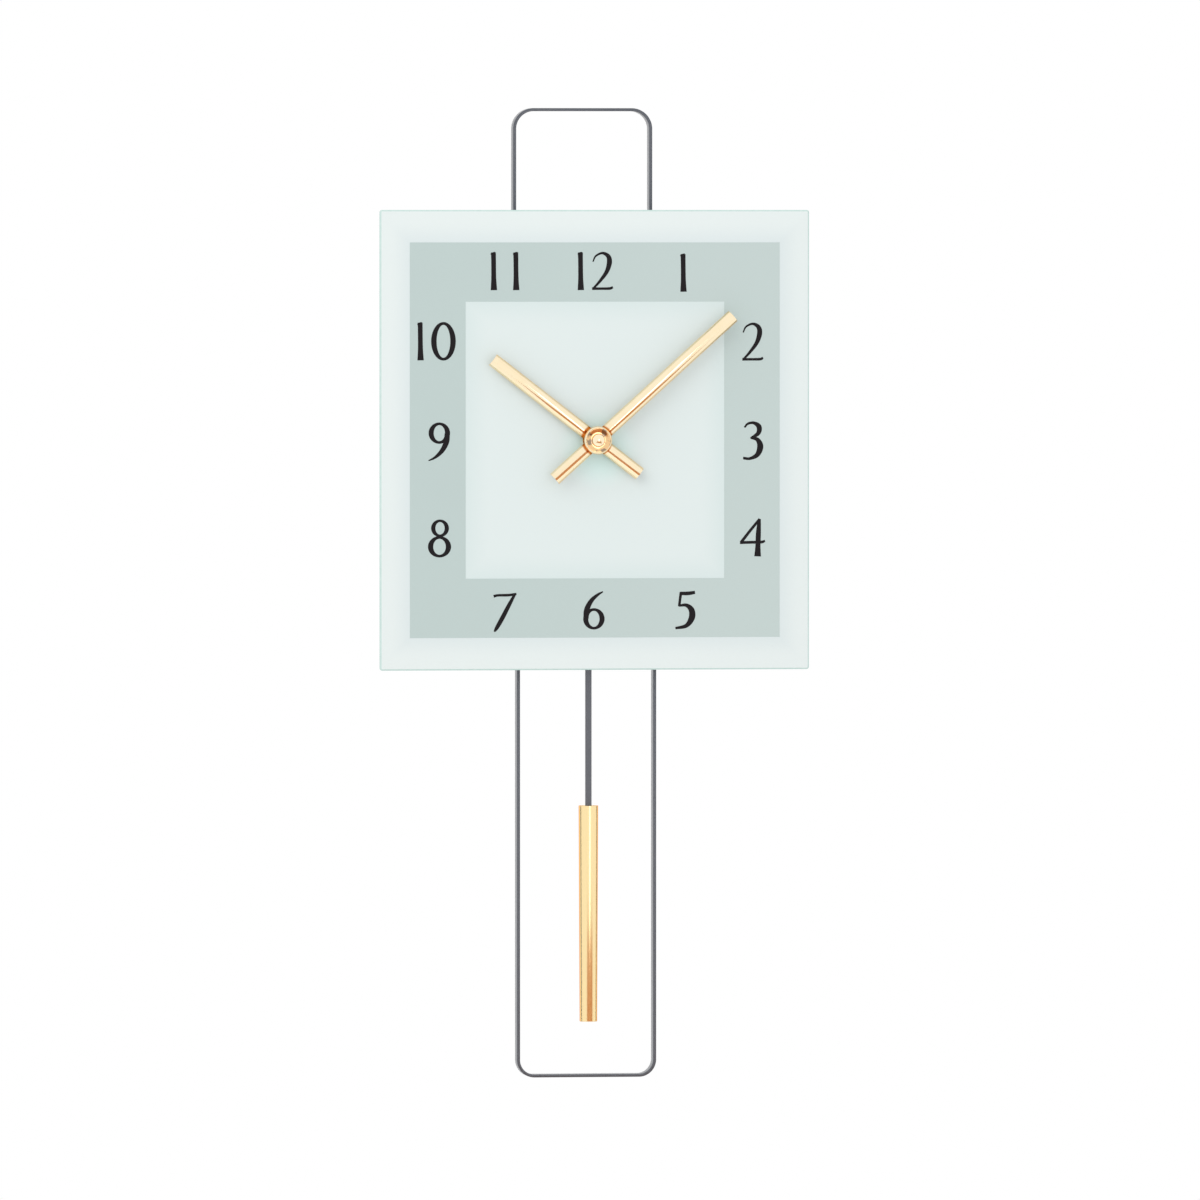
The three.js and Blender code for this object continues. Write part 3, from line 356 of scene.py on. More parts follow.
# Sprayed back lacquer: an even, half-matt greyish white with a soft orange peel 2 mm across.
white_lacquer, lacquer_tree, lacquer_shader = new_material("white_back_lacquer", 0.35)
lacquer_place = place_in_mm(lacquer_tree, AXIS)
lacquer_peel = add_node(lacquer_tree, "ShaderNodeTexNoise", {"Vector": lacquer_place, "Scale": 0.5, "Detail": 2.0})
lacquer_tone = add_node(
    lacquer_tree, "ShaderNodeMix",
    {"Factor": lacquer_peel.outputs["Fac"], "A": linear("c9cbca"), "B": linear("d2d4d2")}, data_type="RGBA")
lacquer_tree.links.new(lacquer_tone.outputs["Result"], lacquer_shader.inputs["Base Color"])
lacquer_relief = add_node(
    lacquer_tree, "ShaderNodeBump",
    {"Height": lacquer_peel.outputs["Fac"], "Distance": 0.02 * MM, "Strength": 1.0})
lacquer_tree.links.new(lacquer_relief.outputs["Normal"], lacquer_shader.inputs["Normal"])

pane_low, pane_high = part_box("glass_dial_panel")
pane = box_primitive("dial_glass", pane_low, pane_high)
bevel_edges(pane, PANE_CORNER, segments=6, wanted=lambda along: abs(along.y) > ALONG)
bevel_edges(pane, PANE_ARRIS, segments=6, wanted=lambda along: abs(along.y) < ACROSS)
cut_hole(pane, PANE_BORE_RADIUS, PANE_BORE_DEPTH, AXIS + Vector((0, GLASS_FRONT, 0)), sides=64)
for material in (etched_glass, polished_edge, white_lacquer):
    pane.data.materials.append(material)
for face in pane.data.polygons:
    face.material_index = 0 if face.normal.y < -FLAT else 2 if face.normal.y > FLAT else 1
smooth(pane)
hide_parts("glass_dial_panel")
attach(pane, "case")


# ---------------------------------------------------------------- the printed ring
# A square ring screen-printed on the face in a silver-grey ink with fine aluminium flake, a little uneven in
# tone, as such inks dry, and drawn a little darker towards the left than the right.
INK_THICKNESS = 0.05 * MM
INK_GAP = 0.005 * MM  # the ink stands this far off the glass, so that the two faces don't meet
RING_SIDES = (-110.0, 110.0)  # the ink is drawn darker at -X and paler towards +X


def select_faces(piece, wanted):
    """Opens a piece in edit mode with only the wanted faces selected."""
    bpy.ops.object.mode_set(mode="EDIT")
    bpy.ops.mesh.select_mode(type="FACE")
    bpy.ops.mesh.select_all(action="DESELECT")
    bpy.ops.object.mode_set(mode="OBJECT")
    for face in piece.data.polygons:
        face.select = wanted(face)
    bpy.ops.object.mode_set(mode="EDIT")


# Silver screen ink: satin grey with a faint cloud and glitter. The flake of some 0.05 mm is drawn 0.6 mm coarse.
silver_ink, ink_tree, ink_shader = new_material("silver_screen_ink", 0.5, 0.1)
ink_place = place_in_mm(ink_tree, AXIS)
ink_split = add_node(ink_tree, "ShaderNodeSeparateXYZ", {0: ink_place})
ink_cloud = add_node(ink_tree, "ShaderNodeTexNoise", {"Vector": ink_place, "Scale": 0.02, "Detail": 3.0})
ink_flake = add_node(ink_tree, "ShaderNodeTexNoise", {"Vector": ink_place, "Scale": 1.6, "Detail": 2.0})
ink_side = add_node(
    ink_tree, "ShaderNodeMapRange",
    {"Value": ink_split.outputs["X"], "From Min": RING_SIDES[0], "From Max": RING_SIDES[1]},
    interpolation_type="SMOOTHSTEP")
ink_tone = add_node(
    ink_tree, "ShaderNodeMix",
    {"Factor": ink_side.outputs["Result"], "A": linear("abbab9"), "B": linear("b1bebd")}, data_type="RGBA")
for pattern, share, colour in ((ink_cloud, 0.5, "afc0be"), (ink_flake, 0.10, "c9d4d3")):
    weight = add_node(ink_tree, "ShaderNodeMath", {0: pattern.outputs["Fac"], 1: share}, operation="MULTIPLY")
    ink_tone = add_node(
        ink_tree, "ShaderNodeMix",
        {"Factor": weight.outputs[0], "A": ink_tone.outputs["Result"], "B": linear(colour)}, data_type="RGBA")
ink_tree.links.new(ink_tone.outputs["Result"], ink_shader.inputs["Base Color"])

ring_front = GLASS_FRONT - INK_THICKNESS
ring = box_primitive(
    "dial_ring_print",
    (-RING_HALF[0] * MM, ring_front, HAND_AXIS_Z - RING_HALF[1] * MM),
    (RING_HALF[0] * MM, GLASS_FRONT - INK_GAP, HAND_AXIS_Z + RING_HALF[1] * MM),
)
select_faces(ring, lambda face: abs(face.normal.y) > ALONG)
bpy.ops.mesh.inset(thickness=(RING_HALF[0] - WINDOW_HALF[0]) * MM, use_individual=True)
inner_scale = WINDOW_HALF[1] / (RING_HALF[1] - RING_HALF[0] + WINDOW_HALF[0])
bpy.ops.transform.resize(value=(1, 1, inner_scale), center_override=AXIS)
bpy.ops.mesh.bridge_edge_loops()
bpy.ops.object.mode_set(mode="OBJECT")
ring.data.materials.append(silver_ink)
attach(ring, "case")


# ---------------------------------------------------------------- the numerals
# Twelve numerals printed over the ring in black ink, drawn as with a broad pen: each stroke is a line of places
# with the pen's width at each, in millimetres from the figure's centre, and the strokes are joined.
PEN = 1.07  # the ink spreads a little past the drawn stroke
STROKE_STEP = 0.12  # each stroke is this share thicker than the last, so that no two faces lie in one plane
BOWL_SIDES = 40

# Black screen ink: flat and matt, so the numerals take no highlight, with a grain 0.5 mm across.
black_ink, black_tree, black_shader = new_material("black_screen_ink", 0.6)
black_shader.inputs["Specular IOR Level"].default_value = 0.15
black_place = place_in_mm(black_tree, AXIS)
black_grain = add_node(black_tree, "ShaderNodeTexNoise", {"Vector": black_place, "Scale": 2.0, "Detail": 2.0})
black_tone = add_node(
    black_tree, "ShaderNodeMix",
    {"Factor": black_grain.outputs["Fac"], "A": linear("120f12"), "B": linear("1c191c")}, data_type="RGBA")
black_tree.links.new(black_tone.outputs["Result"], black_shader.inputs["Base Color"])


def bowl(x, z, half_width, half_height, side_pen, end_pen):
    """A closed round stroke as its outer and inner outlines, thick at its sides and thin at its ends."""
    outlines = []
    for sign in (1, -1):
        across = half_width + sign * side_pen / 2
        upward = half_height + sign * end_pen / 2
        turns = [2 * math.pi * i / BOWL_SIDES for i in range(BOWL_SIDES)]
        outlines.append([(x + across * math.cos(t), z + upward * math.sin(t)) for t in turns])
    return outlines


FIGURES = {
    "0": [bowl(0, 0, 5.8, 10.7, 3.3, 1.7)],
    "1": [
        [(-0.2, 11.2, 2.8), (-0.1, 6, 2.7), (0, -4, 2.8), (0.1, -11.4, 3.6)],
        [(-1.9, 10.1, 0.5), (-0.5, 10.6, 1.3), (0.9, 11.1, 1.0)],
    ],
    "2": [
        [(-5.7, 5.6, 0.7), (-4.0, 9.0, 1.0), (0, 10.8, 1.4), (3.5, 9.0, 2.4), (4.3, 5.2, 2.9), (2.6, -0.4, 2.3),
         (-1.6, -6.2, 1.6), (-5.4, -10.3, 1.1)],
        [(-6.2, -10.5, 1.5), (0, -10.5, 1.4), (4.6, -10.4, 1.5), (6.4, -9.6, 1.3)],
    ],
    "3": [
        [(-4.9, 8.0, 1.0), (-2.8, 10.2, 1.3), (0.8, 10.7, 1.7), (3.9, 8.4, 2.9), (3.4, 4.4, 2.4), (-1.2, 1.5, 1.0)],
        [(-1.2, 1.7, 1.0), (2.9, 0.7, 2.3), (4.7, -3.4, 3.5), (2.9, -8.4, 2.7), (-1.6, -10.7, 1.6),
         (-5.7, -10.4, 1.5)],
    ],
    "4": [
        [(4.4, 11.2, 1.5), (-1.4, 4.2, 1.6), (-7.0, -2.9, 1.7)],
        [(-7.6, -3.0, 1.6), (0, -2.8, 1.6), (5.4, -2.7, 1.6), (7.6, -2.0, 1.2)],
        [(4.2, 11.2, 1.6), (3.6, 3.0, 2.8), (3.3, -5.0, 2.9), (3.1, -11.3, 3.8)],
    ],
    "5": [
        [(-2.9, 10.2, 1.9), (1.8, 10.2, 2.1), (6.1, 10.8, 1.8)],
        [(-2.4, 10.9, 1.6), (-3.0, 6.5, 1.5), (-3.5, 2.4, 1.5)],
        [(-3.7, 2.8, 1.1), (0.8, 3.1, 2.0), (4.0, 0.2, 3.3), (4.1, -4.6, 3.5), (0.8, -9.2, 2.3), (-5.8, -10.7, 1.3)],
    ],
    "6": [
        bowl(-0.1, -4.9, 4.95, 5.6, 3.1, 1.6),
        [(-4.9, -4.6, 3.0), (-4.4, 0.6, 3.1), (-1.8, 5.8, 2.5), (2.0, 9.4, 1.6), (5.4, 11.4, 0.7)],
    ],
    "7": [
        [(-6.9, 9.3, 1.6), (-4.2, 9.9, 1.4), (2, 10.0, 1.5), (6.9, 10.7, 1.3)],
        [(6.0, 10.6, 1.4), (2.4, 4.0, 2.2), (-1.8, -4.0, 2.5), (-5.0, -9.6, 2.1), (-6.5, -11.9, 0.9)],
    ],
    "8": [
        bowl(0.3, 6.1, 4.1, 4.5, 2.6, 1.5),
        bowl(0, -5.0, 5.4, 5.6, 3.2, 1.6),
    ],
    "9": [
        bowl(0.1, 4.9, 4.95, 5.6, 3.1, 1.6),
        [(4.9, 4.6, 3.0), (4.3, -0.6, 3.1), (1.6, -5.8, 2.5), (-2.4, -9.6, 1.5), (-6.4, -11.6, 0.6)],
    ],
}
INNER_COLUMN = 54.5
OUTER_COLUMN = 95.5
NUMERALS = {  # the figures, and the numeral's centre from the hand axis
    "12": (0, 101.3), "1": (INNER_COLUMN - 1, 100.3), "2": (OUTER_COLUMN, 58.8), "3": (OUTER_COLUMN, -0.6),
    "4": (OUTER_COLUMN, -58.8), "5": (INNER_COLUMN, -102.4), "6": (-0.6, -102.4), "7": (-INNER_COLUMN, -102.9),
    "8": (-OUTER_COLUMN + 1.4, -58.8), "9": (-OUTER_COLUMN + 1.2, -0.6), "10": (-OUTER_COLUMN - 0.5, 59.3),
    "11": (-INNER_COLUMN, 101.3),
}
SPACING = {  # how far each figure of a numeral stands from its middle
    "12": (-8.7, 4.4), "11": (-6.8, 6.7), "10": (-9.6, 4.3),
}


def pen_outline(stroke, steps=8):
    """The closed outline of a pen stroke that runs smoothly through its places."""
    ends = [
        tuple(2 * stroke[0][k] - stroke[1][k] for k in range(3)), *stroke,
        tuple(2 * stroke[-1][k] - stroke[-2][k] for k in range(3)),
    ]
    line = []
    for i in range(1, len(ends) - 2):
        a, b, c, d = ends[i - 1:i + 3]
        for step in range(steps + (i == len(ends) - 3)):
            t = step / steps
            line.append(tuple(
                0.5 * (2 * b[k] + (c[k] - a[k]) * t + (2 * a[k] - 5 * b[k] + 4 * c[k] - d[k]) * t * t
                       + (3 * b[k] - a[k] - 3 * c[k] + d[k]) * t ** 3)
                for k in range(3)))
    left, right = [], []
    for i, (x, z, width) in enumerate(line):
        before, after = line[max(i - 1, 0)], line[min(i + 1, len(line) - 1)]
        along = Vector((after[0] - before[0], after[1] - before[1])).normalized() * width * PEN / 2
        left.append((x - along.y, z + along.x))
        right.append((x + along.y, z - along.x))
    return left + right[::-1]


def upright_plate(name, outlines, thickness, place):
    """A plate cut to closed outlines in millimetres and stood up facing -Y, with its place in its mesh."""
    curve = bpy.data.curves.new(name, "CURVE")
    curve.dimensions = "2D"
    curve.fill_mode = "BOTH"
    curve.extrude = thickness / 2
    for outline in outlines:
        spline = curve.splines.new("POLY")
        spline.points.add(len(outline) - 1)
        for point, (u, v) in zip(spline.points, outline):
            point.co = (u * MM, v * MM, 0, 1)
        spline.use_cyclic_u = True
    plate = bpy.data.objects.new(name, curve)
    bpy.context.collection.objects.link(plate)
    start()
    plate.select_set(True)
    bpy.context.view_layer.objects.active = plate
    bpy.ops.object.convert(target="MESH")
    plate.rotation_euler = (math.pi / 2, 0, 0)
    plate.location = place
    bpy.ops.object.transform_apply(location=True, rotation=True, scale=True)
    bpy.ops.object.mode_set(mode="EDIT")
    bpy.ops.mesh.select_all(action="SELECT")
    bpy.ops.mesh.remove_doubles(threshold=1e-6)
    bpy.ops.object.mode_set(mode="OBJECT")
    return plate


for text, (x, z) in NUMERALS.items():
    strokes = []
    for figure, shift in zip(text, SPACING.get(text, (0,))):
        for stroke in FIGURES[figure]:
            thickness = INK_THICKNESS * (1 + STROKE_STEP * len(strokes))
            outlines = stroke if isinstance(stroke[0], list) else [pen_outline(stroke)]
            middle = ((x + shift) * MM, ring_front - thickness / 2, HAND_AXIS_Z + z * MM)
            strokes.append(upright_plate("stroke", outlines, thickness, middle))
    start()
    for stroke in strokes:
        stroke.select_set(True)
    bpy.context.view_layer.objects.active = strokes[0]
    bpy.ops.object.join()
    numeral = bpy.context.object
    numeral.name = f"numeral_{text}"
    numeral.data.materials.append(black_ink)
    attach(numeral, "case")


# ---------------------------------------------------------------- the hands
# Half-round channel of brass sheet, drawn over a former and polished, cut square at both ends, with a solid
# middle pressed on its collet. Polished brass gives long bright reflections broken by thin dark ones.
HAND_WIDTH = 8.0 * MM
HAND_HEIGHT = 3.2 * MM
HAND_WALL = 0.55 * MM
HAND_EDGE_MM = 0.12
HAND_SIDES = 112
CAP_SHADE_RADII = (10.2, 9.0)  # painted shade and reflection of the cap: the brass is darker within the second radius
HANDS = (  # name, node, body, tip, tail, degrees past twelve
    ("hour_hand_channel", "hour_hand", "hour_set", 79 * MM, 33.2 * MM, -52.3),
    ("minute_hand_channel", "minute_hand", "minute_set", 111 * MM, 34.6 * MM, 47.9),
)


def round_edges(piece, width_mm, segments, degrees=50):
    """Rounds every edge that turns by more than an angle."""
    finish_with(
        piece, "BEVEL", width=width_mm * MM, segments=segments, limit_method="ANGLE",
        angle_limit=math.radians(degrees))


def axis_distance(tree, place):
    """The distance from the hand axis in millimetres, whatever the depth."""
    flat = add_node(tree, "ShaderNodeVectorMath", {0: place, 1: (1.0, 0.0, 1.0)}, operation="MULTIPLY")
    return add_node(tree, "ShaderNodeVectorMath", {0: flat.outputs[0]}, operation="LENGTH").outputs["Value"]


def half_round_hand(name, node, tip, tail, clock_angle):
    """A half-round channel from tail to tip, laid upright at its own height and turned to its place on the dial."""
    start()
    flat_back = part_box(node)[1].y
    radius = (HAND_WIDTH ** 2 / 4 + HAND_HEIGHT ** 2) / (2 * HAND_HEIGHT)
    bpy.ops.mesh.primitive_cylinder_add(
        vertices=HAND_SIDES, radius=radius, depth=tip + tail,
        location=(0, flat_back - HAND_HEIGHT + radius, HAND_AXIS_Z + (tip - tail) / 2))
    channel = bpy.context.object
    channel.name = name
    bpy.ops.object.transform_apply(location=True, rotation=True, scale=True)
    bpy.ops.object.mode_set(mode="EDIT")
    bpy.ops.mesh.select_all(action="SELECT")
    bpy.ops.mesh.bisect(plane_co=(0, flat_back, 0), plane_no=(0, 1, 0), clear_outer=True, use_fill=False)
    select_faces(channel, lambda face: abs(face.normal.z) > ALONG)
    bpy.ops.mesh.delete(type="FACE")
    bpy.ops.object.mode_set(mode="OBJECT")
    finish_with(channel, "SOLIDIFY", thickness=HAND_WALL, offset=-1, use_rim=True)
    round_edges(channel, HAND_EDGE_MM, segments=2)
    bpy.ops.object.mode_set(mode="EDIT")
    bpy.ops.mesh.select_all(action="SELECT")
    bpy.ops.transform.rotate(value=-math.radians(clock_angle), orient_axis="Y", center_override=AXIS)
    bpy.ops.object.mode_set(mode="OBJECT")
    channel.data.materials.append(polished_brass)
    smooth(channel, 30)
    return channel


# Polished lacquered brass: pale gold with sharp bright reflections, redder at a slant, a little hazed by
# handling, and painted a darker copper round the hub as the cap's shade and reflection on the hands.
polished_brass, brass_tree, brass_shader = new_material("polished_lacquered_brass", 0.12, 1.0)
brass_shader.inputs["Specular Tint"].default_value = linear("ffb45c")
brass_place = place_in_mm(brass_tree, AXIS)
brass_cloud = add_node(brass_tree, "ShaderNodeTexNoise", {"Vector": brass_place, "Scale": 0.15, "Detail": 3.0})
brass_tone = add_node(
    brass_tree, "ShaderNodeMix",
    {"Factor": brass_cloud.outputs["Fac"], "A": linear("ffe9be"), "B": linear("fff1d2")}, data_type="RGBA")
# Painted shade and reflection of the cap: a thin copper-brown ring on the hands just outside the cap.
cap_shade_mask = add_node(
    brass_tree, "ShaderNodeMapRange",
    {"Value": axis_distance(brass_tree, brass_place), "From Min": CAP_SHADE_RADII[0], "From Max": CAP_SHADE_RADII[1]},
    interpolation_type="SMOOTHSTEP")
cap_shaded_tone = add_node(
    brass_tree, "ShaderNodeMix",
    {"Factor": cap_shade_mask.outputs["Result"], "A": brass_tone.outputs["Result"], "B": linear("c8742e")},
    data_type="RGBA")
brass_tree.links.new(cap_shaded_tone.outputs["Result"], brass_shader.inputs["Base Color"])
brass_haze = add_node(brass_tree, "ShaderNodeTexNoise", {"Vector": brass_place, "Scale": 0.3, "Detail": 3.0})
haze = add_node(
    brass_tree, "ShaderNodeMapRange", {"Value": brass_haze.outputs["Fac"], "To Min": 0.10, "To Max": 0.15})
brass_tree.links.new(haze.outputs["Result"], brass_shader.inputs["Roughness"])

for name, node, body, tip, tail, clock_angle in HANDS:
    channel = half_round_hand(name, node, tip, tail, clock_angle)
    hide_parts(node)
    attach(channel, body)


# ---------------------------------------------------------------- the hand cap
# A turned brass button pressed on the minute arbor: a polished dished disc with a small cone in its middle.
# Its dish is painted tan and blotted grey: painted reflections of a darker room in the polished brass.
CAP_BORE_RADIUS = 1.6
CAP_BORE_DEPTH = 1.7
CAP_DISC_HEIGHT = 3.2
# Radius and height, over the back for the rim and over the disc's face for the dish and the cone.
CAP_RIM = ((7.8, 0), (8.25, 0.15), (8.4, 0.6), (8.4, 1.7), (8.2, 2.2), (7.7, 2.75))
CAP_DISH = ((7.1, 0), (6.6, -0.05), (5.6, -0.4), (4.6, -0.62), (4.1, -0.6), (3.85, -0.35))
CAP_CONE = ((3.8, 0), (3.72, 0.35), (3.45, 0.65), (2.6, 1.15), (1.5, 1.65), (0.8, 1.85))
DISH_INNER = (3.9, 4.3)  # the painted reflection in the dish fades in and out over these radii
DISH_OUTER = (7.7, 7.2)
REFLECTION_PATCH_EDGE = (0.50, 0.58)


def turned_piece(name, profile, centre, sides=72):
    """Spins a profile of (radius, depth) corners, in millimetres, round a line along Y through a centre."""
    start()
    bpy.ops.mesh.primitive_plane_add(size=1)
    piece = bpy.context.object
    piece.name = name
    corners = [Vector((centre[0] + r * MM, y * MM, centre[2])) for r, y in profile]
    bpy.ops.object.mode_set(mode="EDIT")
    bpy.ops.mesh.select_mode(type="VERT")
    bpy.ops.mesh.select_all(action="SELECT")
    bpy.ops.mesh.merge(type="CENTER")
    bpy.ops.transform.translate(value=corners[0])
    for here, there in zip(corners, corners[1:]):
        bpy.ops.mesh.extrude_vertices_move(TRANSFORM_OT_translate={"value": there - here})
    bpy.ops.mesh.select_all(action="SELECT")
    bpy.ops.mesh.spin(
        steps=sides, angle=2 * math.pi, center=(centre[0], 0, centre[2]), axis=(0, 1, 0), use_auto_merge=True)
    bpy.ops.mesh.select_all(action="SELECT")
    bpy.ops.mesh.remove_doubles(threshold=2e-6)
    bpy.ops.mesh.normals_make_consistent(inside=False)
    bpy.ops.object.mode_set(mode="OBJECT")
    return piece


# Polished brass: bright on the rim and cone. Its dish carries painted reflections: tan, with grey
# patches some 4 mm across.
cap_brass_painted_reflections, cap_tree, cap_shader = new_material("polished_brass_painted_reflections", 0.16, 1.0)
cap_shader.inputs["Specular Tint"].default_value = linear("ffb45c")
cap_place = place_in_mm(cap_tree, AXIS)
cap_reach = axis_distance(cap_tree, cap_place)
# Painted reflection: the tan dish and its grey patches stand in for a darker room mirrored in the polished cap.
reflection_patch_noise = add_node(cap_tree, "ShaderNodeTexNoise", {"Vector": cap_place, "Scale": 0.24, "Detail": 3.0})
dish_in, dish_out, grey_reflection_patches = (
    add_node(
        cap_tree, "ShaderNodeMapRange", {"Value": value, "From Min": ends[0], "From Max": ends[1]},
        interpolation_type="SMOOTHSTEP")
    for value, ends in ((cap_reach, DISH_INNER), (cap_reach, DISH_OUTER), (reflection_patch_noise.outputs["Fac"], REFLECTION_PATCH_EDGE)))
in_dish = add_node(
    cap_tree, "ShaderNodeMath", {0: dish_in.outputs["Result"], 1: dish_out.outputs["Result"]},
    operation="MULTIPLY")
patches_in_dish = add_node(
    cap_tree, "ShaderNodeMath", {0: grey_reflection_patches.outputs["Result"], 1: in_dish.outputs[0]}, operation="MULTIPLY")
cap_tone = add_node(
    cap_tree, "ShaderNodeMix", {"Factor": in_dish.outputs[0], "A": linear("ffefcc"), "B": linear("f3c994")},
    data_type="RGBA")
reflected_dish_tone = add_node(
    cap_tree, "ShaderNodeMix",
    {"Factor": patches_in_dish.outputs[0], "A": cap_tone.outputs["Result"], "B": linear("a08c76")}, data_type="RGBA")
cap_tree.links.new(reflected_dish_tone.outputs["Result"], cap_shader.inputs["Base Color"])

cap_low, cap_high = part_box("hand_cap")
cap_back = cap_high.y / MM
disc_face = cap_back - CAP_DISC_HEIGHT
cap_profile = [
    (0, cap_back - CAP_BORE_DEPTH), (CAP_BORE_RADIUS, cap_back - CAP_BORE_DEPTH), (CAP_BORE_RADIUS, cap_back),
    *((radius, cap_back - height) for radius, height in CAP_RIM),
    *((radius, disc_face - height) for radius, height in CAP_DISH + CAP_CONE),
    (0, cap_low.y / MM),
]
cap = turned_piece("hand_cap_button", cap_profile, AXIS)
cap.data.materials.append(cap_brass_painted_reflections)
smooth(cap, 40)
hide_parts("hand_cap")
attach(cap, "minute_set")


# ---------------------------------------------------------------- the loops
# Flat bar, 10 by 1.8 mm, bent on its flat with its thin edge to the viewer, and lacquered in a satin anthracite
# with fine metallic flake. The flats look paler than the edge, because they catch the side light.
BAR_THICKNESS = 1.8
BAR_EDGE_MM = 0.25
BEND_STEPS = 24
LOOPS = (("upper_loop_bar", "upper_loop", 12.5), ("lower_loop_bar", "lower_loop", 10.5))  # name, node, bend

# Satin anthracite lacquer: dark blue-grey with a soft sheen and a faint glitter. The flake of some 0.05 mm is
# drawn 0.5 mm coarse.
anthracite, loop_tree, loop_shader = new_material("satin_anthracite_lacquer", 0.38, 0.55)
loop_place = place_in_mm(loop_tree)
loop_flake = add_node(loop_tree, "ShaderNodeTexNoise", {"Vector": loop_place, "Scale": 2.2, "Detail": 2.0})
loop_cloud = add_node(loop_tree, "ShaderNodeTexNoise", {"Vector": loop_place, "Scale": 0.04, "Detail": 3.0})
flake_tone = add_node(
    loop_tree, "ShaderNodeMix",
    {"Factor": loop_flake.outputs["Fac"], "A": linear("42454c"), "B": linear("5a5e66")}, data_type="RGBA")
cloud_share = add_node(loop_tree, "ShaderNodeMath", {0: loop_cloud.outputs["Fac"], 1: 0.4}, operation="MULTIPLY")
loop_tone = add_node(
    loop_tree, "ShaderNodeMix",
    {"Factor": cloud_share.outputs[0], "A": flake_tone.outputs["Result"], "B": linear("4c5059")},
    data_type="RGBA")
loop_tree.links.new(loop_tone.outputs["Result"], loop_shader.inputs["Base Color"])
loop_shader.inputs["Coat Weight"].default_value = 0.5
loop_shader.inputs["Coat Roughness"].default_value = 0.25
loop_relief = add_node(
    loop_tree, "ShaderNodeBump", {"Height": loop_flake.outputs["Fac"], "Distance": 0.004 * MM, "Strength": 1.0})
loop_tree.links.new(loop_relief.outputs["Normal"], loop_shader.inputs["Normal"])


def bent_bar(name, node, corner):
    """A flat bar bent into a long U. The open end is the one towards the dial."""
    low, high = (Vector(c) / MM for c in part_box(node))
    upward = high.z > 0
    way = 1 if upward else -1
    closed, open_end = (high.z, low.z) if upward else (low.z, high.z)
    half = (high.x - low.x) / 2
    middle = (low.x + high.x) / 2
    outline = []
    for inset, order in ((0, 1), (BAR_THICKNESS, -1)):
        side = [(middle - half + inset, open_end)]
        radius = corner - inset
        for corner_side, first in ((-1, math.pi), (1, math.pi / 2)):
            for i in range(BEND_STEPS + 1):
                turn = first - i / BEND_STEPS * math.pi / 2
                side.append((
                    middle + corner_side * (half - corner) + radius * math.cos(turn),
                    closed - way * corner + way * radius * math.sin(turn)))
        side.append((middle + half - inset, open_end))
        outline += side[::order]
    loop = upright_plate(name, [outline], (high.y - low.y) * MM, (0, (low.y + high.y) / 2 * MM, 0))
    bpy.ops.object.mode_set(mode="EDIT")
    bpy.ops.mesh.select_all(action="SELECT")
    bpy.ops.mesh.dissolve_limited(angle_limit=math.radians(0.5))
    bpy.ops.mesh.normals_make_consistent(inside=False)
    bpy.ops.object.mode_set(mode="OBJECT")
    round_edges(loop, BAR_EDGE_MM, segments=3)
    loop.data.materials.append(anthracite)
    smooth(loop, 40)
    return loop


for name, node, corner in LOOPS:
    loop = bent_bar(name, node, corner)
    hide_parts(node)
    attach(loop, "case")


# ---------------------------------------------------------------- the pendulum rod
# A strip of thin steel blanked with round ends and an eye at its top, lacquered like the loops. It hooks on the
# hanger's peg and its lower end is held in the bob's plug.
def eased_copy(name, node, body, material, width_mm, segments=2, angle=40):
    """A copy of a frame node with its flat faces made whole and its edges rounded."""
    start()
    source = next(o for o in bpy.data.objects if o.type == "MESH" and o.name == node)
    piece = source.copy()
    piece.data = source.data.copy()
    piece.name = name
    bpy.context.collection.objects.link(piece)
    piece.select_set(True)
    bpy.context.view_layer.objects.active = piece
    piece.data.materials.clear()
    for key in list(piece.keys()):
        if key.startswith("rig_"):
            del piece[key]
    bpy.ops.object.mode_set(mode="EDIT")
    bpy.ops.mesh.select_all(action="SELECT")
    bpy.ops.mesh.remove_doubles(threshold=5e-6)
    bpy.ops.mesh.dissolve_limited(angle_limit=math.radians(1))
    bpy.ops.object.mode_set(mode="OBJECT")
    round_edges(piece, width_mm, segments, angle)
    piece.data.materials.append(material)
    smooth(piece, angle)
    finish_with(piece, "WEIGHTED_NORMAL", keep_sharp=True)
    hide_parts(node)
    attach(piece, body)


eased_copy("pendulum_strip", "pendulum_rod", "pendulum", anthracite, 0.12)


# ---------------------------------------------------------------- the bob
# A slim brass tube, a little wider at its top, satin finished on the lathe with fine turning rings and lacquered,
# with a plug in each end.
BOB_TOP_RADIUS = 5.85 * MM
BOB_BOTTOM_RADIUS = 5.25 * MM
BOB_WALL = 0.8 * MM
BOB_RIM_MM = 0.2
RING_STRETCH = 0.01  # the turning pattern hardly changes round the tube

# Satin turned brass: warm gold, brighter in one long line down the tube, orange towards its sides. The turning
# rings of some 0.05 mm are drawn 0.25 mm apart.
satin_brass, bob_tree, bob_shader = new_material("satin_turned_brass", 0.22, 1.0)
bob_shader.inputs["Specular Tint"].default_value = linear("f59a40")
bob_place = place_in_mm(bob_tree)
turning_split = add_node(bob_tree, "ShaderNodeSeparateXYZ", {0: bob_place})
round_tube = add_node(
    bob_tree, "ShaderNodeMath", {0: turning_split.outputs["X"], 1: RING_STRETCH}, operation="MULTIPLY")
turning_line = add_node(
    bob_tree, "ShaderNodeCombineXYZ", {"X": round_tube.outputs[0], "Z": turning_split.outputs["Z"]})
turning = add_node(
    bob_tree, "ShaderNodeTexNoise", {"Vector": turning_line.outputs[0], "Scale": 4.0, "Detail": 3.0})
bob_tone = add_node(
    bob_tree, "ShaderNodeMix",
    {"Factor": turning.outputs["Fac"], "A": linear("fce0a2"), "B": linear("ffe9b8")}, data_type="RGBA")
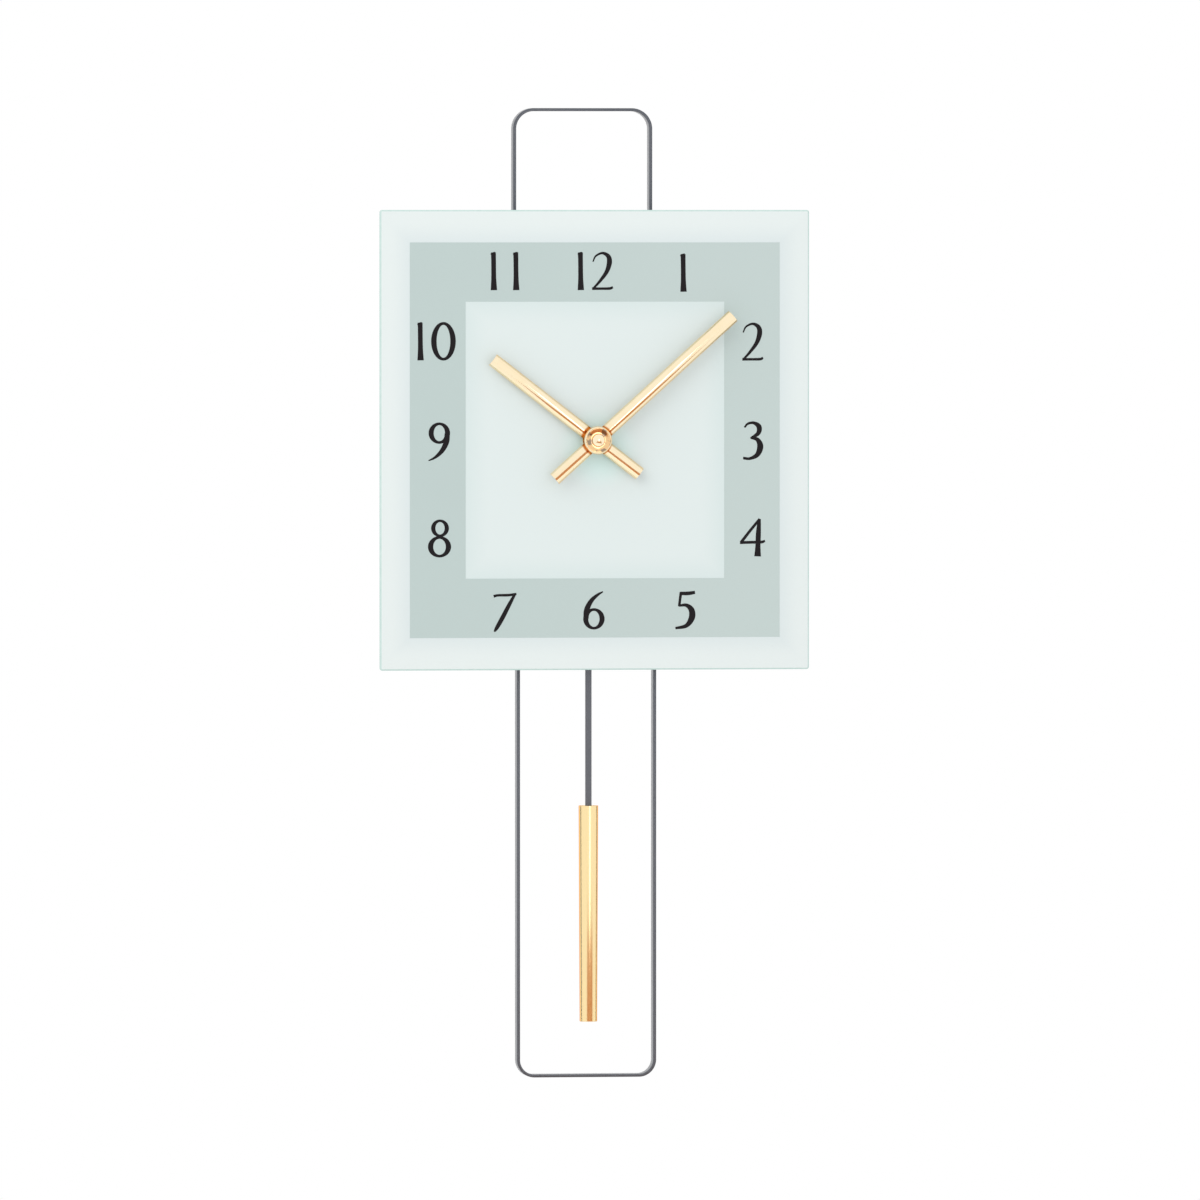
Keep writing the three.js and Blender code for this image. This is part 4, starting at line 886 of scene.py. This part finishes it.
bob_tree.links.new(bob_tone.outputs["Result"], bob_shader.inputs["Base Color"])
turning_relief = add_node(
    bob_tree, "ShaderNodeBump", {"Height": turning.outputs["Fac"], "Distance": 0.0007 * MM, "Strength": 1.0})
bob_tree.links.new(turning_relief.outputs["Normal"], bob_shader.inputs["Normal"])

bob_low, bob_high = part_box("bob_tube")
start()
bpy.ops.mesh.primitive_cone_add(
    vertices=96, radius1=BOB_BOTTOM_RADIUS, radius2=BOB_TOP_RADIUS, depth=bob_high.z - bob_low.z,
    end_fill_type="NOTHING", location=(bob_low + bob_high) / 2)
bob = bpy.context.object
bob.name = "bob_shell"
bpy.ops.object.transform_apply(location=True, rotation=True, scale=True)
finish_with(bob, "SOLIDIFY", thickness=BOB_WALL, offset=-1)
round_edges(bob, BOB_RIM_MM, segments=3)
bob.data.materials.append(satin_brass)
smooth(bob, 40)
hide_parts("bob_tube")
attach(bob, "pendulum")
eased_copy("bob_upper_plug", "bob_top_plug", "pendulum", satin_brass, 0.15)
eased_copy("bob_lower_plug", "bob_bottom_plug", "pendulum", satin_brass, 0.15)


# ---------------------------------------------------------------- the sheet-steel tray and hanger plate
# The tray is folded from 1.2 mm sheet and powder coated white, with the fine orange peel of such a coat. The
# hanger plate across its back is zinc plated, which leaves a faint grey-blue mottle.

# White powder coat: half matt, a little grey, with an orange peel 1 mm across.
powder_coat, coat_tree, coat_shader = new_material("white_powder_coat", 0.5)
coat_place = place_in_mm(coat_tree)
peel = add_node(coat_tree, "ShaderNodeTexNoise", {"Vector": coat_place, "Scale": 0.9, "Detail": 2.0})
coat_tone = add_node(
    coat_tree, "ShaderNodeMix",
    {"Factor": peel.outputs["Fac"], "A": linear("cdd0cf"), "B": linear("d8dad9")}, data_type="RGBA")
coat_tree.links.new(coat_tone.outputs["Result"], coat_shader.inputs["Base Color"])
coat_relief = add_node(
    coat_tree, "ShaderNodeBump", {"Height": peel.outputs["Fac"], "Distance": 0.03 * MM, "Strength": 1.0})
coat_tree.links.new(coat_relief.outputs["Normal"], coat_shader.inputs["Normal"])

# Bright zinc plate: a cool grey metal, mottled 3 mm across in tone and in gloss.
zinc_plate, zinc_tree, zinc_shader = new_material("bright_zinc_plate", 0.3, 1.0)
zinc_place = place_in_mm(zinc_tree)
spangle = add_node(zinc_tree, "ShaderNodeTexVoronoi", {"Vector": zinc_place, "Scale": 0.35})
zinc_tone = add_node(
    zinc_tree, "ShaderNodeMix",
    {"Factor": spangle.outputs["Distance"], "A": linear("b4babf"), "B": linear("cdd1d3")}, data_type="RGBA")
zinc_tree.links.new(zinc_tone.outputs["Result"], zinc_shader.inputs["Base Color"])
zinc_rough = add_node(
    zinc_tree, "ShaderNodeMapRange", {"Value": spangle.outputs["Distance"], "To Min": 0.24, "To Max": 0.42})
zinc_tree.links.new(zinc_rough.outputs["Result"], zinc_shader.inputs["Roughness"])

eased_copy("folded_tray", "carrier_tray", "case", powder_coat, 0.35)
eased_copy("keyhole_plate", "hanger_plate", "case", zinc_plate, 0.25)


# ---------------------------------------------------------------- the fasteners
# Zinc-plated button-head screws with a hexagon socket hold the loops, and countersunk ones hold the hanger
# plate. The loop screw is turned once, its socket sunk, and copied to its eight places.
SHANK_RADIUS = 1.4
POINT_SHARE = 0.7  # the point's radius, as a share of the shank's
POINT_LENGTH = 0.5
HEAD_HEIGHT = 1.7
BUTTON = ((2.55, 1.7), (2.75, 1.5), (2.68, 1.05), (2.4, 0.6), (1.9, 0.2), (1.4, 0), (0, 0))  # depth under its top
SOCKET_RADIUS = 1.05 * MM
SOCKET_DEPTH = 2.0 * MM  # half of the key is sunk

screw_low, screw_high = (Vector(c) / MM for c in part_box("upper_loop_screw_left_1"))
screw_end = screw_low.x - screw_high.x
screw_profile = [
    (0, screw_end), (SHANK_RADIUS * POINT_SHARE, screw_end), (SHANK_RADIUS, screw_end + POINT_LENGTH),
    (SHANK_RADIUS, -HEAD_HEIGHT), *((radius, -depth) for radius, depth in BUTTON),
]
first_screw = turned_piece("button_screw", screw_profile, (0, 0, 0), sides=32)
cut_hole(first_screw, SOCKET_RADIUS, SOCKET_DEPTH, (0, 0, 0), sides=6)
first_screw.data.materials.append(zinc_plate)
for loop_name in ("upper_loop", "lower_loop"):
    for hole in ("left_1", "right_1", "left_2", "right_2"):
        node = f"{loop_name}_screw_{hole}"
        low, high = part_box(node)
        side = 1 if high.x > 0 else -1
        middle = (low + high) / 2
        screw = first_screw.copy()
        screw.data = first_screw.data.copy()
        screw.name = f"{node}_button"
        bpy.context.collection.objects.link(screw)
        screw.rotation_euler = (0, 0, -side * math.pi / 2)
        screw.location = (side * max(abs(low.x), abs(high.x)), middle.y, middle.z)
        start()
        screw.select_set(True)
        bpy.context.view_layer.objects.active = screw
        bpy.ops.object.transform_apply(location=True, rotation=True, scale=True)
        smooth(screw, 35)
        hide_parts(node)
        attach(screw, "case")
bpy.data.objects.remove(first_screw, do_unlink=True)


# ---------------------------------------------------------------- the finishes of the pieces kept from the frame
# The movement and its small parts keep their shapes. Mouldings are ABS and acetal with a spark-eroded grain, the
# windings are enamelled copper, and small metal parts are zinc plated, nickelled or brass.
def moulded(name, dark, light, roughness, grain_mm, depth_mm):
    """A moulded or ground surface with a fine grain in its tone and relief."""
    material, tree, shader = new_material(name, roughness)
    grain_place = place_in_mm(tree)
    grain = add_node(tree, "ShaderNodeTexNoise", {"Vector": grain_place, "Scale": 1 / grain_mm, "Detail": 3.0})
    tone = add_node(
        tree, "ShaderNodeMix", {"Factor": grain.outputs["Fac"], "A": linear(dark), "B": linear(light)},
        data_type="RGBA")
    tree.links.new(tone.outputs["Result"], shader.inputs["Base Color"])
    relief = add_node(
        tree, "ShaderNodeBump", {"Height": grain.outputs["Fac"], "Distance": depth_mm * MM, "Strength": 1.0})
    tree.links.new(relief.outputs["Normal"], shader.inputs["Normal"])
    return material


# Spark-textured ABS is a half-matt black, and moulded acetal a waxy off-white. The foam and the rubber are dull
# and nearly black. Solder mask is a glossy green, and ground ferrite a dark grey with a stony grain.
black_abs = moulded("spark_textured_black_abs", "17181a", "222326", 0.48, 0.5, 0.02)
white_acetal = moulded("moulded_white_acetal", "dedbd1", "ebe8df", 0.4, 1.5, 0.006)
closed_foam = moulded("closed_cell_foam", "1c1c1d", "303031", 0.95, 0.4, 0.08)
soft_rubber = moulded("moulded_rubber", "1b1b1c", "29292b", 0.8, 0.6, 0.02)
solder_mask = moulded("green_solder_mask", "1f5a33", "2d7141", 0.35, 2.0, 0.01)
ground_ferrite = moulded("ground_ferrite", "3a3b3f", "55565b", 0.42, 0.8, 0.01)

# Enamelled copper wire, wound: red-brown and glossy, light and dark by turns. The wire of some 0.1 mm is drawn
# 0.4 mm coarse.
copper_winding, winding_tree, winding_shader = new_material("enamelled_copper_winding", 0.3, 0.85)
winding_place = place_in_mm(winding_tree)
turns = add_node(winding_tree, "ShaderNodeTexNoise", {"Vector": winding_place, "Scale": 2.5, "Detail": 2.0})
winding_tone = add_node(
    winding_tree, "ShaderNodeMix",
    {"Factor": turns.outputs["Fac"], "A": linear("8a4420"), "B": linear("c8753c")}, data_type="RGBA")
winding_tree.links.new(winding_tone.outputs["Result"], winding_shader.inputs["Base Color"])
winding_relief = add_node(
    winding_tree, "ShaderNodeBump", {"Height": turns.outputs["Fac"], "Distance": 0.05 * MM, "Strength": 1.0})
winding_tree.links.new(winding_relief.outputs["Normal"], winding_shader.inputs["Normal"])

# Printed shrink sleeve: dark blue with a tan band at the positive end, glossy, over bright steel ends.
TAN_FROM = (8.0, 8.4)  # where the tan begins along the cell, and where its steel ends do
STEEL_FROM = (23.6, 23.8)
battery_sleeve, sleeve_tree, sleeve_shader = new_material("battery_shrink_sleeve", 0.28)
sleeve_place = place_in_mm(sleeve_tree)
sleeve_split = add_node(sleeve_tree, "ShaderNodeSeparateXYZ", {0: sleeve_place})
band = add_node(
    sleeve_tree, "ShaderNodeMapRange",
    {"Value": sleeve_split.outputs["X"], "From Min": TAN_FROM[0], "From Max": TAN_FROM[1]},
    interpolation_type="SMOOTHSTEP")
from_middle = add_node(sleeve_tree, "ShaderNodeMath", {0: sleeve_split.outputs["X"]}, operation="ABSOLUTE")
steel_end = add_node(
    sleeve_tree, "ShaderNodeMapRange",
    {"Value": from_middle.outputs[0], "From Min": STEEL_FROM[0], "From Max": STEEL_FROM[1]},
    interpolation_type="SMOOTHSTEP")
sleeve_tone = add_node(
    sleeve_tree, "ShaderNodeMix",
    {"Factor": band.outputs["Result"], "A": linear("2f4361"), "B": linear("b9945a")}, data_type="RGBA")
cell_tone = add_node(
    sleeve_tree, "ShaderNodeMix",
    {"Factor": steel_end.outputs["Result"], "A": sleeve_tone.outputs["Result"], "B": linear("c3c6c8")},
    data_type="RGBA")
sleeve_tree.links.new(cell_tone.outputs["Result"], sleeve_shader.inputs["Base Color"])
sleeve_tree.links.new(steel_end.outputs["Result"], sleeve_shader.inputs["Metallic"])
sleeve_shader.inputs["Coat Weight"].default_value = 0.5

for name, node, body, slot, material, width in (
    ("movement_shell", "movement_front_shell", "case", "black_plastic", black_abs, 0.3),
    ("movement_cover", "movement_rear_cover", "case", "black_plastic", black_abs, 0.3),
    ("time_setting_knob", "setting_knob", "setting_set", "white_plastic", white_acetal, 0.2),
    ("pendulum_arm", "pendulum_hanger", "pendulum", "white_plastic", white_acetal, 0.25),
    ("drive_winding", "drive_coil", "case", "copper_wire", copper_winding, 0.3),
    ("cell", "battery", "case", "battery_jacket", battery_sleeve, 0.2),
    ("bush_nut", "fixing_nut", "case", "brass", satin_brass, 0.2),
    ("bush_washer", "fixing_washer", "case", "brass", satin_brass, 0.12),
    ("hanger_screw_left_csk", "hanger_screw_left", "case", "zinc_steel", zinc_plate, 0.15),
    ("hanger_screw_right_csk", "hanger_screw_right", "case", "zinc_steel", zinc_plate, 0.15),
    ("bumper_left", "wall_bumper_left", "case", "rubber", soft_rubber, 0.3),
    ("bumper_right", "wall_bumper_right", "case", "rubber", soft_rubber, 0.3),
    ("clip", "pivot_clip", "case", "zinc_steel", zinc_plate, 0.08),
    ("magnet_disc", "pendulum_magnet", "pendulum", "magnet", ground_ferrite, 0.2),
):
    eased_copy(name, node, body, material, width)

KEPT = {
    zinc_plate: (
        "minute_arbor", "friction_spring", "stator_plate", "quartz_crystal", "battery_contact_positive",
        "battery_contact_negative", "pendulum_pivot_pin",
    ),
    polished_brass: ("hour_hand_collet", "minute_hand_collet", "threaded_bush"),
    white_acetal: (
        "centre_wheel", "hour_wheel", "motion_wheel", "third_wheel", "second_wheel", "intermediate_wheel",
        "rotor_pinion", "coil_bobbin",
    ),
    copper_winding: ("coil_winding",),
    solder_mask: ("circuit_board",),
    black_abs: ("control_chip",),
    ground_ferrite: ("rotor_magnet",),
    closed_foam: ("adhesive_pad_left", "adhesive_pad_right"),
}
for material, nodes in KEPT.items():
    for node in nodes:
        kept = bpy.data.objects[node]
        for material_slot in kept.material_slots:
            material_slot.link = "OBJECT"
            material_slot.material = material
